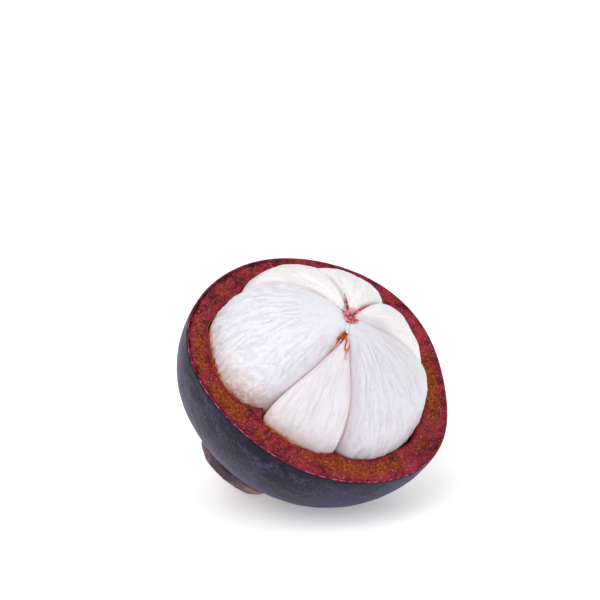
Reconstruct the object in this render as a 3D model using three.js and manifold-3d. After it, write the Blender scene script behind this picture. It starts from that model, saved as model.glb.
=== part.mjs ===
// A mangosteen opened round its middle: the upper half of the rind is gone, and the white flesh stands
// whole in the lower half like an egg in its cup. The half leans on the table with its cut face tipped up,
// resting on a small flat spot of the rind and on the sepals beside it.
//
// Every piece is a skin over a row of closed loops. The pieces are worked out in the fruit's own frame, in
// millimetres: its axis is +Z, the cut is the plane z = 0, the calyx is below, and bearings are degrees
// about the axis, counted from the side of the rim that leans nearest the table. One group then leans the
// fruit over.
import * as THREE from "three";
import { mergeVertices } from "three/addons/utils/BufferGeometryUtils.js";
import Module from "manifold-3d";

const wasm = await Module();
wasm.setup();
const radians = THREE.MathUtils.degToRad;

// How the half lies: its axis leans 41 degrees from upright, towards a plan bearing of -54 degrees.
const LEAN = 41.1;
const LEANS_TOWARDS = -54;
const FLAT_SPOT_DEPTH = 0.6; // how much of the rind's round underside the flat spot takes off

// Rind: a slightly flattened ball, cut a little above its widest level.
const CUT_RADIUS = 31;
const WIDEST_BELOW_CUT = 2.2;
const BASE_DEPTH = 28.7; // from the widest level down to the calyx end
const RIND_WAVES = [
  // how its outline departs from a circle: number of bulges, their height, and the bearing of one of them
  { bulges: 2, height: 0.44, at: 101 },
  { bulges: 3, height: 0.82, at: 6 },
  { bulges: 4, height: 0.19, at: 27 },
  { bulges: 5, height: 0.25, at: 35 },
];
const SKIN_LIP = 0.9; // width of the tough skin that rims the cut face
const PITH_SINK = 0.45; // how far the softer pith has sunk below that rim

// Flesh: one ball of six segments that meet on an axis of their own.
const FLESH_AXIS = new THREE.Vector2(-0.35, -1.0);
const FLESH_CENTRE_Z = -1;
const FLESH_HALF_HEIGHT = 18.6;
const DIMPLE_SHARE = 0.9; // the hollow where the segments meet, as a share of the ball's half height
const DIMPLE_RADIUS = 3.2;
const GAP = 0.3; // clearance between neighbouring pieces
const CORE_RADIUS = 1.1; // the slim channel left where the segments meet
const HOLLOW_STEP = 3.75; // degrees between the bearings that the rind is built on

// The creases, in order round the ball: bearings near the axis, halfway and outside, which are the
// distances in CREASE_RADII, and radius at the crease's bottom. The first two run together, on the bearing
// in meets, before they reach the axis, and so the narrow first segment ends short of it.
const CREASE_RADII = [5, 14, 23];
const MEETING_RADIUS = 3.2;
const CREASES = [
  { bearings: [-46, -55, -66], meets: -40.5, radius: 19.0 },
  { bearings: [-35, -24, -20], meets: -40.5, radius: 22.0 },
  { bearings: [58, 62, 64], radius: 23.2 },
  { bearings: [117, 112, 113], radius: 21.0 },
  { bearings: [163, 163, 167], radius: 21.6 },
  { bearings: [200, 204, 209], radius: 21.2 },
];
// The segments, each between the crease of its own number and the next: radius at its crest, distances over
// which its back comes up from its two creases, and how close its inner edge comes to the axis.
const SEGMENTS = [
  { name: "segment_1", crest: 24.0, shoulders: [8, 4], inner: 4.4 },
  { name: "segment_2", crest: 25.2, shoulders: [12, 6], inner: CORE_RADIUS },
  { name: "segment_3", crest: 24.1, shoulders: [6, 6], inner: CORE_RADIUS },
  { name: "segment_4", crest: 24.6, shoulders: [7, 7], inner: CORE_RADIUS },
  { name: "segment_5", crest: 25.0, shoulders: [7, 10], inner: CORE_RADIUS },
  { name: "segment_6", crest: 25.4, shoulders: [14, 16], inner: CORE_RADIUS },
];

// Calyx: four leathery sepals, side by side round the cut stem and close to the rind. The second one is
// pressed flat under it.
const SEPAL_START = 10; // polar angle of a sepal's root, degrees from the calyx end
const SEPAL_SPREAD = 41; // how far a sepal reaches to either side of its bearing, at most, in degrees
const SEPALS = [
  // bearing, polar angle of the tip, greatest width, and how its outer face stands off the rind: a dome
  // of height rise in its middle, over lift and thick at its edges
  { name: "sepal_1", at: -71, tip: 40, width: 26, rise: 1.3, lift: 1.8, thick: 1.7 },
  { name: "sepal_2", at: 24, tip: 31, width: 20, rise: 0, lift: 0, thick: 1.2 },
  { name: "sepal_3", at: 112, tip: 39, width: 23, rise: 2.6, lift: 1.6, thick: 2 },
  { name: "sepal_4", at: 199, tip: 38, width: 23, rise: 2.2, lift: 0.9, thick: 2 },
];
const STEM_LENGTH = 8.4;
const STEM_BEND = 36; // degrees that the stem swings up, away from the table
const STEM_RADII = [4.7, 4.25, 4.0, 4.05, 4.3, 4.15]; // from the calyx to the broken end

// Red fibres that the torn-off rind left in the hollow where the segments meet: strands that run out from a
// hub, each over a crease. A strand is as wide as splay says, in degrees to either side, halfway along it.
const FIBRES = [
  { at: -51, reach: 8.4, splay: 4.5 },
  { at: -33, reach: 8.4, splay: 4.5 },
  { at: 117, reach: 5.4, splay: 8 },
  { at: 163, reach: 6.0, splay: 8 },
  { at: 200, reach: 4.2, splay: 9 },
];
const FIBRE_HUB = 1.5; // radius
const FIBRE_HEIGHT = 0.9;

// ---------------------------------------------------------------------------------------------------------
// Shapes from loops

// A closed skin over a row of loops with equally many points; a fan closes the first loop and the last.
function skinOver(loops) {
  const count = loops[0].length;
  const points = loops.flat();
  const triangles = [];
  for (let row = 0; row + 1 < loops.length; row++) {
    for (let i = 0; i < count; i++) {
      const a = row * count + i;
      const b = row * count + ((i + 1) % count);
      triangles.push(a, b, b + count, a, b + count, a + count);
    }
  }
  const first = points.push(middleOf(loops[0])) - 1;
  const last = points.push(middleOf(loops.at(-1))) - 1;
  const lastRow = (loops.length - 1) * count;
  for (let i = 0; i < count; i++) {
    const next = (i + 1) % count;
    triangles.push(first, next, i, last, lastRow + i, lastRow + next);
  }
  return new THREE.BufferGeometry().setFromPoints(points).setIndex(triangles);
}

function middleOf(loop) {
  return loop.reduce((sum, p) => sum.add(p), new THREE.Vector3()).divideScalar(loop.length);
}

// Evenly spaced numbers from one value to another, both included.
function steps(from, to, count) {
  return Array.from({ length: count + 1 }, (_, i) => from + ((to - from) * i) / count);
}

// Numbers from one value to another that crowd towards both ends.
function stepsToEnds(from, to, count) {
  return steps(0, Math.PI, count).map((t) => from + ((to - from) * (1 - Math.cos(t))) / 2);
}

function polar(radius, bearing, z) {
  return new THREE.Vector3(radius * Math.cos(radians(bearing)), radius * Math.sin(radians(bearing)), z);
}

function solidOf(geometry) {
  const bare = geometry.clone();
  bare.deleteAttribute("normal");
  bare.deleteAttribute("uv");
  const merged = mergeVertices(bare, 1e-4);
  const mesh = { numProp: 3, vertProperties: merged.attributes.position.array, triVerts: merged.index.array };
  return new wasm.Manifold(new wasm.Mesh(mesh));
}

function geometryOf(solid) {
  const mesh = solid.getMesh();
  const geometry = new THREE.BufferGeometry();
  geometry.setAttribute("position", new THREE.BufferAttribute(mesh.vertProperties, 3));
  return geometry.setIndex(new THREE.BufferAttribute(mesh.triVerts, 1));
}

// ---------------------------------------------------------------------------------------------------------
// Flesh

// Each segment knows its two creases.
const segments = SEGMENTS.map((segment, i) => ({
  ...segment,
  creases: [CREASES[i], CREASES[(i + 1) % CREASES.length]],
}));

// The smooth curve through a crease's three bearings, and through the meeting point if it has one.
function creaseBearing(crease, radius) {
  const [near, halfway, outside] = crease.bearings;
  const [first, middle, last] = CREASE_RADII;
  const t = (THREE.MathUtils.clamp(radius, first, last) - first) / (middle - first);
  const bearing = near + (halfway - near) * t + ((outside - 2 * halfway + near) / 2) * t * (t - 1);
  const apart = THREE.MathUtils.smoothstep(radius, MEETING_RADIUS, first);
  return THREE.MathUtils.lerp(crease.meets ?? bearing, bearing, apart);
}

// The bearings of a segment's two sides at a radius, the second one counted on past 360 degrees if need be.
function sidesAt(segment, radius) {
  const [from, to] = segment.creases.map((crease) => creaseBearing(crease, radius));
  return [from, to < from ? to + 360 : to];
}

// The segment on a bearing at a radius, and how far the bearing is from its first side to its second.
function segmentAt(bearing, radius) {
  for (const segment of segments) {
    const [from, to] = sidesAt(segment, radius);
    const turned = from + THREE.MathUtils.euclideanModulo(bearing - from, 360);
    if (turned < to) return { segment, share: (turned - from) / (to - from) };
  }
  return { segment: segments[0], share: 0 };
}

// How far out of the ball's crest radius the flesh reaches, as a share: 1 on a segment's back, and less
// towards its creases and towards the dimple at the poles. share runs from 0 at the first crease to 1 at
// the second.
function fleshShare(segment, share, latitude) {
  const radius = segment.crest * Math.cos(latitude);
  const [from, to] = sidesAt(segment, radius);
  const span = radians(to - from) * radius;
  const room = segment.shoulders[0] / (segment.shoulders[0] + segment.shoulders[1]);
  const side = share < room ? 0 : 1;
  const distance = (side === 0 ? share : 1 - share) * span;
  const shoulder = Math.min(segment.shoulders[side], span * (side === 0 ? room : 1 - room));
  const near = Math.min(1, distance / shoulder);
  const arch = Math.sqrt(1 - (1 - near) ** 2);
  const inCrease = segment.creases[side].radius / segment.crest;
  const backed = inCrease + (1 - inCrease) * arch;
  const atPole = Math.exp(-((radius / DIMPLE_RADIUS) ** 2));
  return backed * (1 - atPole) + DIMPLE_SHARE * atPole;
}

// Radius from the flesh's axis and height of a point on a segment's back.
function fleshPoint(segment, share, latitude) {
  const out = fleshShare(segment, share, latitude);
  const radius = segment.crest * Math.cos(latitude) * out;
  return { radius, z: FLESH_CENTRE_Z + FLESH_HALF_HEIGHT * Math.sin(latitude) * out };
}

function onFleshAxis(point) {
  return point.add(new THREE.Vector3(FLESH_AXIS.x, FLESH_AXIS.y, 0));
}

// A segment: at each latitude one loop goes out along a side, over the back and in along the other side.
function segmentShape(segment) {
  const steepest = Math.acos((segment.inner + 0.5) / segment.crest);
  const levels = steps(-steepest, steepest, 18);
  const across = stepsToEnds(0, 1, segment.crest > 25 ? 12 : 8);
  const inward = steps(0, 1, 4).slice(1, -1).map((t) => t ** 0.7);
  const top = fleshPoint(segment, 0, steepest).z;
  const bottom = fleshPoint(segment, 0, -steepest).z;
  const loops = levels.map((latitude, row) => {
    const back = across.map((share) => ({ share, ...fleshPoint(segment, share, latitude) }));
    const inner = { radius: segment.inner, z: bottom + ((top - bottom) * row) / (levels.length - 1) };
    const side = (from, to, share) =>
      inward.map((t) => ({
        share,
        radius: THREE.MathUtils.lerp(from.radius, to.radius, t),
        z: THREE.MathUtils.lerp(from.z, to.z, t),
      }));
    const round = [
      { share: 0, ...inner },
      ...side(back[0], inner, 0).reverse(),
      ...back,
      ...side(back.at(-1), inner, 1),
      { share: 1, ...inner },
    ];
    return round.map(({ share, radius, z }) => {
      const slack = THREE.MathUtils.radToDeg(Math.asin(Math.min(1, GAP / 2 / radius)));
      const [from, to] = sidesAt(segment, radius);
      return onFleshAxis(polar(radius, THREE.MathUtils.lerp(from + slack, to - slack, share), z));
    });
  });
  return skinOver(loops);
}

// ---------------------------------------------------------------------------------------------------------
// Rind

const rindShrink = Math.sqrt(1 - (WIDEST_BELOW_CUT / BASE_DEPTH) ** 2);

// Outer radius of the rind's widest level on a bearing.
function rindWidest(bearing) {
  const waves = RIND_WAVES.map((w) => w.height * Math.cos(radians(w.bulges * (bearing - w.at))));
  return (CUT_RADIUS + waves.reduce((sum, wave) => sum + wave)) / rindShrink;
}

// A point off the rind's outside, by its bearing, its angle from the calyx end and its distance off the skin.
function offRind(bearing, angle, distance) {
  const widest = rindWidest(bearing);
  const a = radians(angle);
  const normal = new THREE.Vector2(Math.sin(a) / widest, -Math.cos(a) / BASE_DEPTH).normalize();
  const radius = widest * Math.sin(a) + normal.x * distance;
  return polar(radius, bearing, -WIDEST_BELOW_CUT - BASE_DEPTH * Math.cos(a) + normal.y * distance);
}

// The hollow that the flesh fills, by bearing and latitude: the fullest that the flesh gets within a step to
// either side, and GAP clear of it.
function hollowPoint(bearing, latitude) {
  const nearby = [-HOLLOW_STEP, -HOLLOW_STEP / 2, 0, HOLLOW_STEP / 2, HOLLOW_STEP].map((aside) => {
    const { segment, share } = segmentAt(bearing + aside, CREASE_RADII.at(-1) * Math.cos(latitude));
    return segment.crest * fleshShare(segment, share, latitude);
  });
  const reach = Math.max(...nearby);
  const height = FLESH_HALF_HEIGHT * Math.min(1, reach / 24);
  const z = FLESH_CENTRE_Z + (height + GAP) * Math.sin(latitude);
  return onFleshAxis(polar((reach + GAP) * Math.cos(latitude), bearing, z));
}

function rindShape() {
  const bearings = steps(0, 360, 360 / HOLLOW_STEP).slice(0, -1);
  const rimAngle = THREE.MathUtils.radToDeg(Math.acos(-WIDEST_BELOW_CUT / BASE_DEPTH));
  const outside = steps(4, rimAngle, 13).map((angle) => bearings.map((b) => offRind(b, angle, 0)));
  const cutLatitude = Math.asin(-FLESH_CENTRE_Z / FLESH_HALF_HEIGHT);
  const hollow = steps(cutLatitude, -radians(86), 11).map((l) => bearings.map((b) => hollowPoint(b, l)));
  hollow[0].forEach((p) => p.setZ(-PITH_SINK / 2));
  const rim = outside.at(-1);
  const lip = rim.map((p) => p.clone().multiplyScalar(1 - SKIN_LIP / p.length()).setZ(-PITH_SINK / 2));
  const pith = lip.map((p, i) => p.clone().lerp(hollow[0][i], 0.45).setZ(-PITH_SINK));
  return skinOver([...outside, lip, pith, ...hollow]);
}

// ---------------------------------------------------------------------------------------------------------
// Calyx and stem

// A sepal: a thick, domed leaf that starts narrow at the stem, widens and ends round. Each loop is one
// section across it, over the outer face and back along the inner one, which lies close to the rind.
function sepalShape(sepal) {
  const across = steps(-1, 1, 8);
  const loops = steps(0, 0.985, 9).map((along) => {
    const angle = THREE.MathUtils.lerp(SEPAL_START, sepal.tip, along);
    const radius = rindWidest(sepal.at) * Math.sin(radians(angle));
    const roundTip = Math.sqrt(1 - Math.max(0, (along - 0.4) / 0.6) ** 2.4);
    const half = Math.min(sepal.width / 2, radius * radians(SEPAL_SPREAD)) * roundTip;
    const dome = Math.sin(Math.PI * along ** 0.8);
    const faceAt = (side, outer) => {
      const edge = sepal.lift * (0.35 + 0.65 * along) + sepal.thick * (0.55 + 0.45 * dome);
      const thick = (edge + sepal.rise * dome * (1 - side * side)) * Math.sqrt(1 - side ** 4 * 0.98);
      const bearing = sepal.at + THREE.MathUtils.radToDeg((side * half) / radius);
      return offRind(bearing, angle, GAP + (outer ? thick : 0));
    };
    const over = across.map((side) => faceAt(side, true));
    const back = across.slice(1, -1).reverse().map((side) => faceAt(side, false));
    return [...over, ...back];
  });
  return skinOver(loops);
}

// The stem: a stout stub that swings up from the calyx and ends in a rough break.
function stemShape() {
  const root = offRind(0, 0, GAP);
  const bend = radians(STEM_BEND);
  const swing = new THREE.Vector3(-Math.sin(bend), 0, -Math.cos(bend));
  const tip = root.clone().addScaledVector(swing, STEM_LENGTH);
  const knee = root.clone().add(new THREE.Vector3(0, 0, -STEM_LENGTH / 2));
  const line = new THREE.QuadraticBezierCurve3(root, knee, tip);
  const last = STEM_RADII.length - 1;
  const loops = STEM_RADII.map((radius, i) => {
    const centre = line.getPoint(i / last);
    const along = line.getTangent(i / last);
    const side = new THREE.Vector3(0, 1, 0);
    const other = new THREE.Vector3().crossVectors(side, along);
    return steps(0, 360, 18).slice(0, -1).map((bearing) => {
      const ribbed = radius * (1 + 0.03 * Math.cos(radians(bearing * 4)));
      const out = side.clone().multiplyScalar(Math.cos(radians(bearing)) * ribbed);
      return out.addScaledVector(other, -Math.sin(radians(bearing)) * ribbed).add(centre);
    });
  });
  return skinOver(loops);
}

// ---------------------------------------------------------------------------------------------------------
// Fibres

// Height of the flesh on a bearing at a distance from its axis, by halving the latitude that gives it.
function fleshTop(bearing, radius) {
  const { segment, share } = segmentAt(bearing, radius);
  let low = 0;
  let high = Math.PI / 2;
  for (let i = 0; i < 24; i++) {
    const middle = (low + high) / 2;
    if (fleshPoint(segment, share, middle).radius > radius) low = middle;
    else high = middle;
  }
  return fleshPoint(segment, share, low).z;
}

// The outline of the fibres, seen along the flesh's axis, as bearings and radii in order of bearing.
function fibreOutline() {
  return FIBRES.flatMap((fibre, i) => {
    const before = FIBRES.at(i - 1).at - (i === 0 ? 360 : 0);
    return [
      { bearing: (2 * before + fibre.at) / 3, radius: FIBRE_HUB },
      { bearing: (before + 2 * fibre.at) / 3, radius: FIBRE_HUB },
      { bearing: fibre.at - fibre.splay, radius: fibre.reach * 0.5 },
      { bearing: fibre.at - fibre.splay / 4, radius: fibre.reach },
      { bearing: fibre.at + fibre.splay / 4, radius: fibre.reach },
      { bearing: fibre.at + fibre.splay, radius: fibre.reach * 0.5 },
    ];
  });
}

// The fibres lie on the flesh: their underside out from the hub to the outline, and their top back in.
function fibresShape() {
  const outline = fibreOutline();
  const under = [0.3, 0.55, 0.8, 1];
  const loopAt = (share, height) =>
    outline.map(({ bearing, radius }) => {
      const out = radius * share;
      const beds = [-0.7, 0, 0.7].map((aside) =>
        fleshTop(bearing + THREE.MathUtils.radToDeg(aside / Math.max(out, 1)), Math.max(out, CORE_RADIUS)),
      );
      return onFleshAxis(polar(out, bearing, Math.max(...beds) + 1.5 * GAP + height));
    });
  const lower = under.map((share) => loopAt(share, 0));
  const upper = under.map((share) => loopAt(share * 0.96, FIBRE_HEIGHT * (1 - 0.6 * share ** 2))).reverse();
  return skinOver([...lower, ...upper]);
}

// ---------------------------------------------------------------------------------------------------------
// The half as it lies

// Down, in the fruit's own frame, and how far down the rind reaches.
const down = new THREE.Vector3(Math.sin(radians(LEAN)), 0, -Math.cos(radians(LEAN)));
const wholeRind = rindShape();
const lowest = Math.max(...verticesOf(wholeRind).map((p) => p.dot(down)));
const tableDepth = lowest - FLAT_SPOT_DEPTH;

function verticesOf(geometry) {
  const position = geometry.getAttribute("position");
  return steps(0, position.count - 1, position.count - 1).map((i) =>
    new THREE.Vector3().fromBufferAttribute(position, Math.round(i)),
  );
}

// The table as a thick slab, which presses a flat on whatever reaches into it.
function pressedOnTable(geometry) {
  const thickness = 20;
  const slab = new THREE.BoxGeometry(200, 200, thickness);
  slab.rotateY(-radians(LEAN));
  slab.translate(...down.clone().multiplyScalar(tableDepth + thickness / 2));
  return geometryOf(solidOf(geometry).subtract(solidOf(slab)));
}

const skin = new THREE.MeshStandardMaterial({ color: 0x3b3844, roughness: 0.5, metalness: 0 });
const flesh = new THREE.MeshStandardMaterial({ color: 0xf1eef0, roughness: 0.35, metalness: 0 });
const leather = new THREE.MeshStandardMaterial({ color: 0x5f4a4c, roughness: 0.6, metalness: 0 });
const bark = new THREE.MeshStandardMaterial({ color: 0x8a7a34, roughness: 0.7, metalness: 0 });
const redFibre = new THREE.MeshStandardMaterial({ color: 0xb2384a, roughness: 0.5, metalness: 0 });

function piece(name, geometry, material) {
  const mesh = new THREE.Mesh(geometry, material);
  mesh.name = name;
  return mesh;
}

const rind = piece("rind", pressedOnTable(wholeRind), skin);
const fruit = new THREE.Group();
fruit.add(rind);
for (const segment of segments) fruit.add(piece(segment.name, segmentShape(segment), flesh));
for (const sepal of SEPALS) fruit.add(piece(sepal.name, pressedOnTable(sepalShape(sepal)), leather));
fruit.add(piece("stem", stemShape(), bark));
fruit.add(piece("fibres", fibresShape(), redFibre));

// The origin is the middle of the rind's flat spot.
const onTable = verticesOf(rind.geometry).filter((p) => p.dot(down) > tableDepth - 1e-3);
fruit.position.copy(middleOf(onTable)).negate();

const leaning = new THREE.Group();
leaning.rotation.set(0, radians(LEAN), radians(LEANS_TOWARDS), "ZYX");
leaning.add(fruit);

export default leaning;
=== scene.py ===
"""A mangosteen opened round its middle: the lower half of the rind with the whole white flesh in it.

Every piece is worked out in the fruit's own frame, in millimetres. There the axis is +Z, the cut is the
plane z = 0, the calyx is below, and bearings are degrees about the axis, counted from the side of the rim
that leans nearest the table. Lie turns that frame into the frame of the CAD model, in metres.
"""
import itertools
import logging
import math
import random
from dataclasses import dataclass, field
from enum import Enum
from functools import partial
from typing import Callable

import bpy
import numpy as np
from mathutils import Matrix, Vector
from mathutils.bvhtree import BVHTree


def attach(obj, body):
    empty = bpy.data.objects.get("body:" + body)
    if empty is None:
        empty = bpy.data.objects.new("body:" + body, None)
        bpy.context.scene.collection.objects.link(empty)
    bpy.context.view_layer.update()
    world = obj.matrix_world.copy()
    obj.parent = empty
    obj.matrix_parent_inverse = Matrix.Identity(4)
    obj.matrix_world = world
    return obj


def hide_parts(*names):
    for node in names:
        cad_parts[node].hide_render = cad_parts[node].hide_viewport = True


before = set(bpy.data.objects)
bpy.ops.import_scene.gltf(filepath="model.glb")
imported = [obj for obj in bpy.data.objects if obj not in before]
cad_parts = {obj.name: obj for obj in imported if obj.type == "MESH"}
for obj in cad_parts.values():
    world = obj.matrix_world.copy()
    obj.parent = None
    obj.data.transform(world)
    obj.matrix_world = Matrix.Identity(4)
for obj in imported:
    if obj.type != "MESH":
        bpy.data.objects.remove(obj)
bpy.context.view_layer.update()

log = logging.getLogger("mangosteen")

Array = np.ndarray
Colour = tuple[float, float, float, float]
Tags = dict[str, Array]
Shape = Callable[[Array, Array], tuple[Array, Tags]]
Feeds = dict[str | int, bpy.types.NodeSocket | float | str | tuple[float, float, float]]

MM = 0.001
BODY = "root"
HAIR = 1e-6

# Large primes that stir a cell's three numbers into one code, and that code again into another.
CELL_PRIMES = np.array([73856093, 19349663, 83492791])
CODE_PRIMES = (1274126177, 668265263)

# A mix node's colour sockets go by number, because its other kinds of socket have the same names.
MIX_SHARE, MIX_UNDER, MIX_OVER, MIX_COLOUR = 0, 6, 7, 2


# ---------------------------------------------------------------------------------------------------------
# Small tools

def linear(code: str) -> Colour:
    """The linear colour that Blender's sockets take.

    Args:
        code: an sRGB colour as a hex code, such as "#6b2430".

    Returns:
        Linear red, green, blue and an alpha of 1.
    """
    parts = [int(code[i:i + 2], 16) / 255 for i in (1, 3, 5)]
    red, green, blue = (c / 12.92 if c <= 0.04045 else ((c + 0.055) / 1.055) ** 2.4 for c in parts)
    return red, green, blue, 1.0


def smooth(low: float, high: float, value: Array) -> Array:
    """0 at low, 1 at high, and a smooth step between them."""
    t = np.clip((value - low) / (high - low), 0.0, 1.0)
    return t * t * (3 - 2 * t)


def bump_at(centre: float, width: float, value: Array) -> Array:
    """A bell curve, 1 at centre and about a third at width from it."""
    return np.exp(-((value - centre) / width) ** 2)


def apart(bearing: Array, other: float) -> Array:
    """The signed difference of two bearings in degrees, from -180 to 180."""
    return (bearing - other + 180) % 360 - 180


def lattice_noise(points: Array) -> Array:
    """Smooth noise with one random slope on each whole-number corner of space.

    Args:
        points: one row of x, y, z for each value.

    Returns:
        One value for each point, from about -0.8 to 0.8.
    """
    cell = np.floor(points).astype(np.int64)
    inside = points - cell
    ease = inside ** 3 * (inside * (inside * 6 - 15) + 10)
    total = np.zeros(len(points))
    for step in itertools.product((0, 1), repeat=3):
        mixed = (cell + np.array(step)) * CELL_PRIMES
        code = mixed[:, 0] ^ mixed[:, 1] ^ mixed[:, 2]
        code = ((code ^ (code >> 13)) * CODE_PRIMES[0]) & 0x7FFFFFFF
        code = ((code ^ (code >> 15)) * CODE_PRIMES[1]) & 0x7FFFFFFF
        turn = (code & 0xFFFF) / 65536 * 2 * math.pi
        height = (code >> 16) / 16384 - 1
        flat = np.sqrt(np.maximum(1 - height ** 2, 0))
        slope = np.stack([flat * np.cos(turn), flat * np.sin(turn), height], axis=1)
        weight = np.prod(np.where(np.array(step) == 1, ease, 1 - ease), axis=1)
        total += weight * np.sum(slope * (inside - np.array(step)), axis=1)
    return total


def grain(points: Array, size: float, seed: float, octaves: int = 3) -> Array:
    """Soft noise that is the same in each run.

    Args:
        points: one row of x, y, z for each value.
        size: distance from one lump to the next, in the points' units.
        seed: shifts the noise, so that no two uses share a pattern.
        octaves: layers of finer and finer detail.

    Returns:
        One value for each point, from about -1 to 1.
    """
    shift = np.array([17.3, -9.1, 5.7]) * seed
    layers = (0.55 ** i * lattice_noise(points * 2.1 ** i / size + shift) for i in range(octaves))
    return 1.5 * sum(layers)


def columns_of(*values: Array) -> Array:
    """Puts x, y and z side by side, one row for each point."""
    return np.stack(np.broadcast_arrays(*values), axis=1)


def polar(radius: Array, bearing: Array, z: Array) -> Array:
    """Points at a radius and bearing from the axis."""
    turn = np.radians(bearing)
    return columns_of(radius * np.cos(turn), radius * np.sin(turn), z)


@dataclass(frozen=True)
class Lumps:
    """Soft lumps: how high and how far apart they are, their seed, and their layers of detail."""

    height: float
    size: float
    seed: float
    layers: int = 3

    def over(self, points: Array) -> Array:
        """How far the surface stands out at each point, in mm."""
        return self.height * grain(points, self.size, self.seed, self.layers)


@dataclass(frozen=True)
class Patch:
    """A patch with soft sides, by its bearing, its half width and its strength."""

    at: float
    wide: float
    strength: float = 1.0

    def cover(self, bearing: Array, z: Array | float) -> Array:
        """How strongly the patch covers each bearing, at any height."""
        return self.strength * bump_at(0, self.wide, apart(bearing, self.at))


@dataclass(frozen=True)
class Blot(Patch):
    """A patch that is soft above and below its level too."""

    level: float = 0.0
    high: float = 1.0

    def cover(self, bearing: Array, z: Array | float) -> Array:
        """How strongly the blot covers each bearing and height."""
        return super().cover(bearing, z) * bump_at(self.level, self.high, z)


@dataclass(frozen=True)
class Stain(Patch):
    """A patch that is full at its foot and fades away up to its top."""

    top: float = 1.0
    foot: float = 0.0

    def cover(self, bearing: Array, z: Array | float) -> Array:
        """How strongly the stain covers each bearing and height."""
        return super().cover(bearing, z) * smooth(self.top, self.foot, z)


def strongest(patches: tuple[Patch, ...], bearing: Array, z: Array | float = 0.0) -> Array:
    """The strongest of some patches on each bearing and height."""
    return np.maximum.reduce([patch.cover(bearing, z) for patch in patches])


# ---------------------------------------------------------------------------------------------------------
# How the half lies

@dataclass(frozen=True)
class Lie:
    """How the fruit's own frame lies in the CAD model's frame."""

    lean: float = 41.1
    towards: float = -54.0
    cut_centre: tuple[float, float, float] = (-1.032, -0.023, 30.829)

    def turn(self) -> Array:
        """The turn from the fruit's frame to the model's.

        Returns:
            A 3 by 3 matrix.
        """
        aside = Matrix.Rotation(math.radians(self.towards), 3, "Z")
        over = Matrix.Rotation(math.radians(self.lean), 3, "Y")
        return np.array(aside @ over)

    def placed(self, points: Array) -> Array:
        """Points of the fruit's frame, in mm, as points of the model's frame, in metres."""
        return (points @ self.turn().T + np.array(self.cut_centre)) * MM

    def taken(self, points: Array) -> Array:
        """Points of the model's frame, in metres, as points of the fruit's frame, in mm."""
        return (points / MM - np.array(self.cut_centre)) @ self.turn()

    def pressed(self, points: Array) -> Array:
        """Flattens what would reach below the table, where the fruit's weight presses on it.

        Args:
            points: points of the fruit's frame.

        Returns:
            The points, none of them below the table.
        """
        down = -self.turn()[2]
        table = self.cut_centre[2]
        below = np.maximum(points @ down - table, 0.0)
        return points - below[:, None] * down


LIE = Lie()


# ---------------------------------------------------------------------------------------------------------
# Shapes

BALLS: dict[tuple[int, int], bpy.types.Mesh] = {}


def plain_ball(name: str, columns: int, rings: int) -> bpy.types.Object:
    """A smooth ball of radius 1, each grid of which is modelled once and copied from then on.

    Args:
        name: the piece's name.
        columns: how many points each ring has.
        rings: how many rings there are from pole to pole.

    Returns:
        The new object, with a mesh of its own.
    """
    bpy.ops.object.select_all(action="DESELECT")
    if (columns, rings) not in BALLS:
        bpy.ops.mesh.primitive_uv_sphere_add(segments=columns, ring_count=rings, radius=1.0,
                                             location=(0, 0, 0))
        bpy.ops.object.shade_smooth()
        pattern = bpy.context.active_object
        BALLS[columns, rings] = pattern.data
        bpy.data.objects.remove(pattern)
    mesh = BALLS[columns, rings].copy()
    mesh.name = name
    piece = bpy.data.objects.new(name, mesh)
    bpy.context.collection.objects.link(piece)
    return piece


def shaped_ball(name: str, columns: int, rings: int, shape: Shape) -> bpy.types.Object:
    """A closed skin: a ball whose columns and rings are laid over the form of the piece.

    Args:
        name: the piece's name.
        columns: how many points each ring has.
        rings: how many rings there are from pole to pole.
        shape: takes two arrays, how far round (0 to 1) and how far up from the lower pole (0 to 1) each point
            of the ball is. It returns the points in the fruit's frame, and the numbers that the piece keeps
            for its material, by name.

    Returns:
        The new object, with its place in its mesh.
    """
    piece = plain_ball(name, columns, rings)
    count = len(piece.data.vertices)
    places = np.empty(count * 3)
    piece.data.vertices.foreach_get("co", places)
    places = places.reshape(count, 3)
    turn = np.arctan2(places[:, 1], places[:, 0]) / (2 * math.pi)
    around = np.round(turn * columns) % columns / columns
    along = np.round(np.arccos(np.clip(-places[:, 2], -1, 1)) / math.pi * rings) / rings
    points, tags = shape(around, along)
    piece.data.vertices.foreach_set("co", LIE.placed(LIE.pressed(points)).ravel())
    for tag, values in tags.items():
        layer = piece.data.attributes.new(tag, "FLOAT", "POINT")
        layer.data.foreach_set("value", values.astype(np.float32))
    piece.data.update()
    return piece


def corner_points(piece: bpy.types.Object) -> Array:
    """The number of the point at each corner of a piece's faces.

    Args:
        piece: the piece.

    Returns:
        One number for each corner.
    """
    corners = np.empty(len(piece.data.loops), dtype=np.int64)
    piece.data.loops.foreach_get("vertex_index", corners)
    return corners


def own_points(piece: bpy.types.Object) -> Array:
    """The points of a piece in the fruit's frame.

    Args:
        piece: the piece.

    Returns:
        One row of x, y, z in mm for each point.
    """
    places = np.empty(len(piece.data.vertices) * 3)
    piece.data.vertices.foreach_get("co", places)
    return LIE.taken(places.reshape(-1, 3))


# ---------------------------------------------------------------------------------------------------------
# Materials

def feed(tree: bpy.types.NodeTree, node: bpy.types.Node, inputs: Feeds) -> None:
    """Feeds a node's input sockets.

    Args:
        tree: the node's tree.
        node: the node.
        inputs: by name or number, each with an output to link, a hex code for its colour, or its value.
    """
    for name, value in inputs.items():
        if isinstance(value, bpy.types.NodeSocket):
            tree.links.new(value, node.inputs[name])
        else:
            node.inputs[name].default_value = linear(value) if isinstance(value, str) else value


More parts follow.
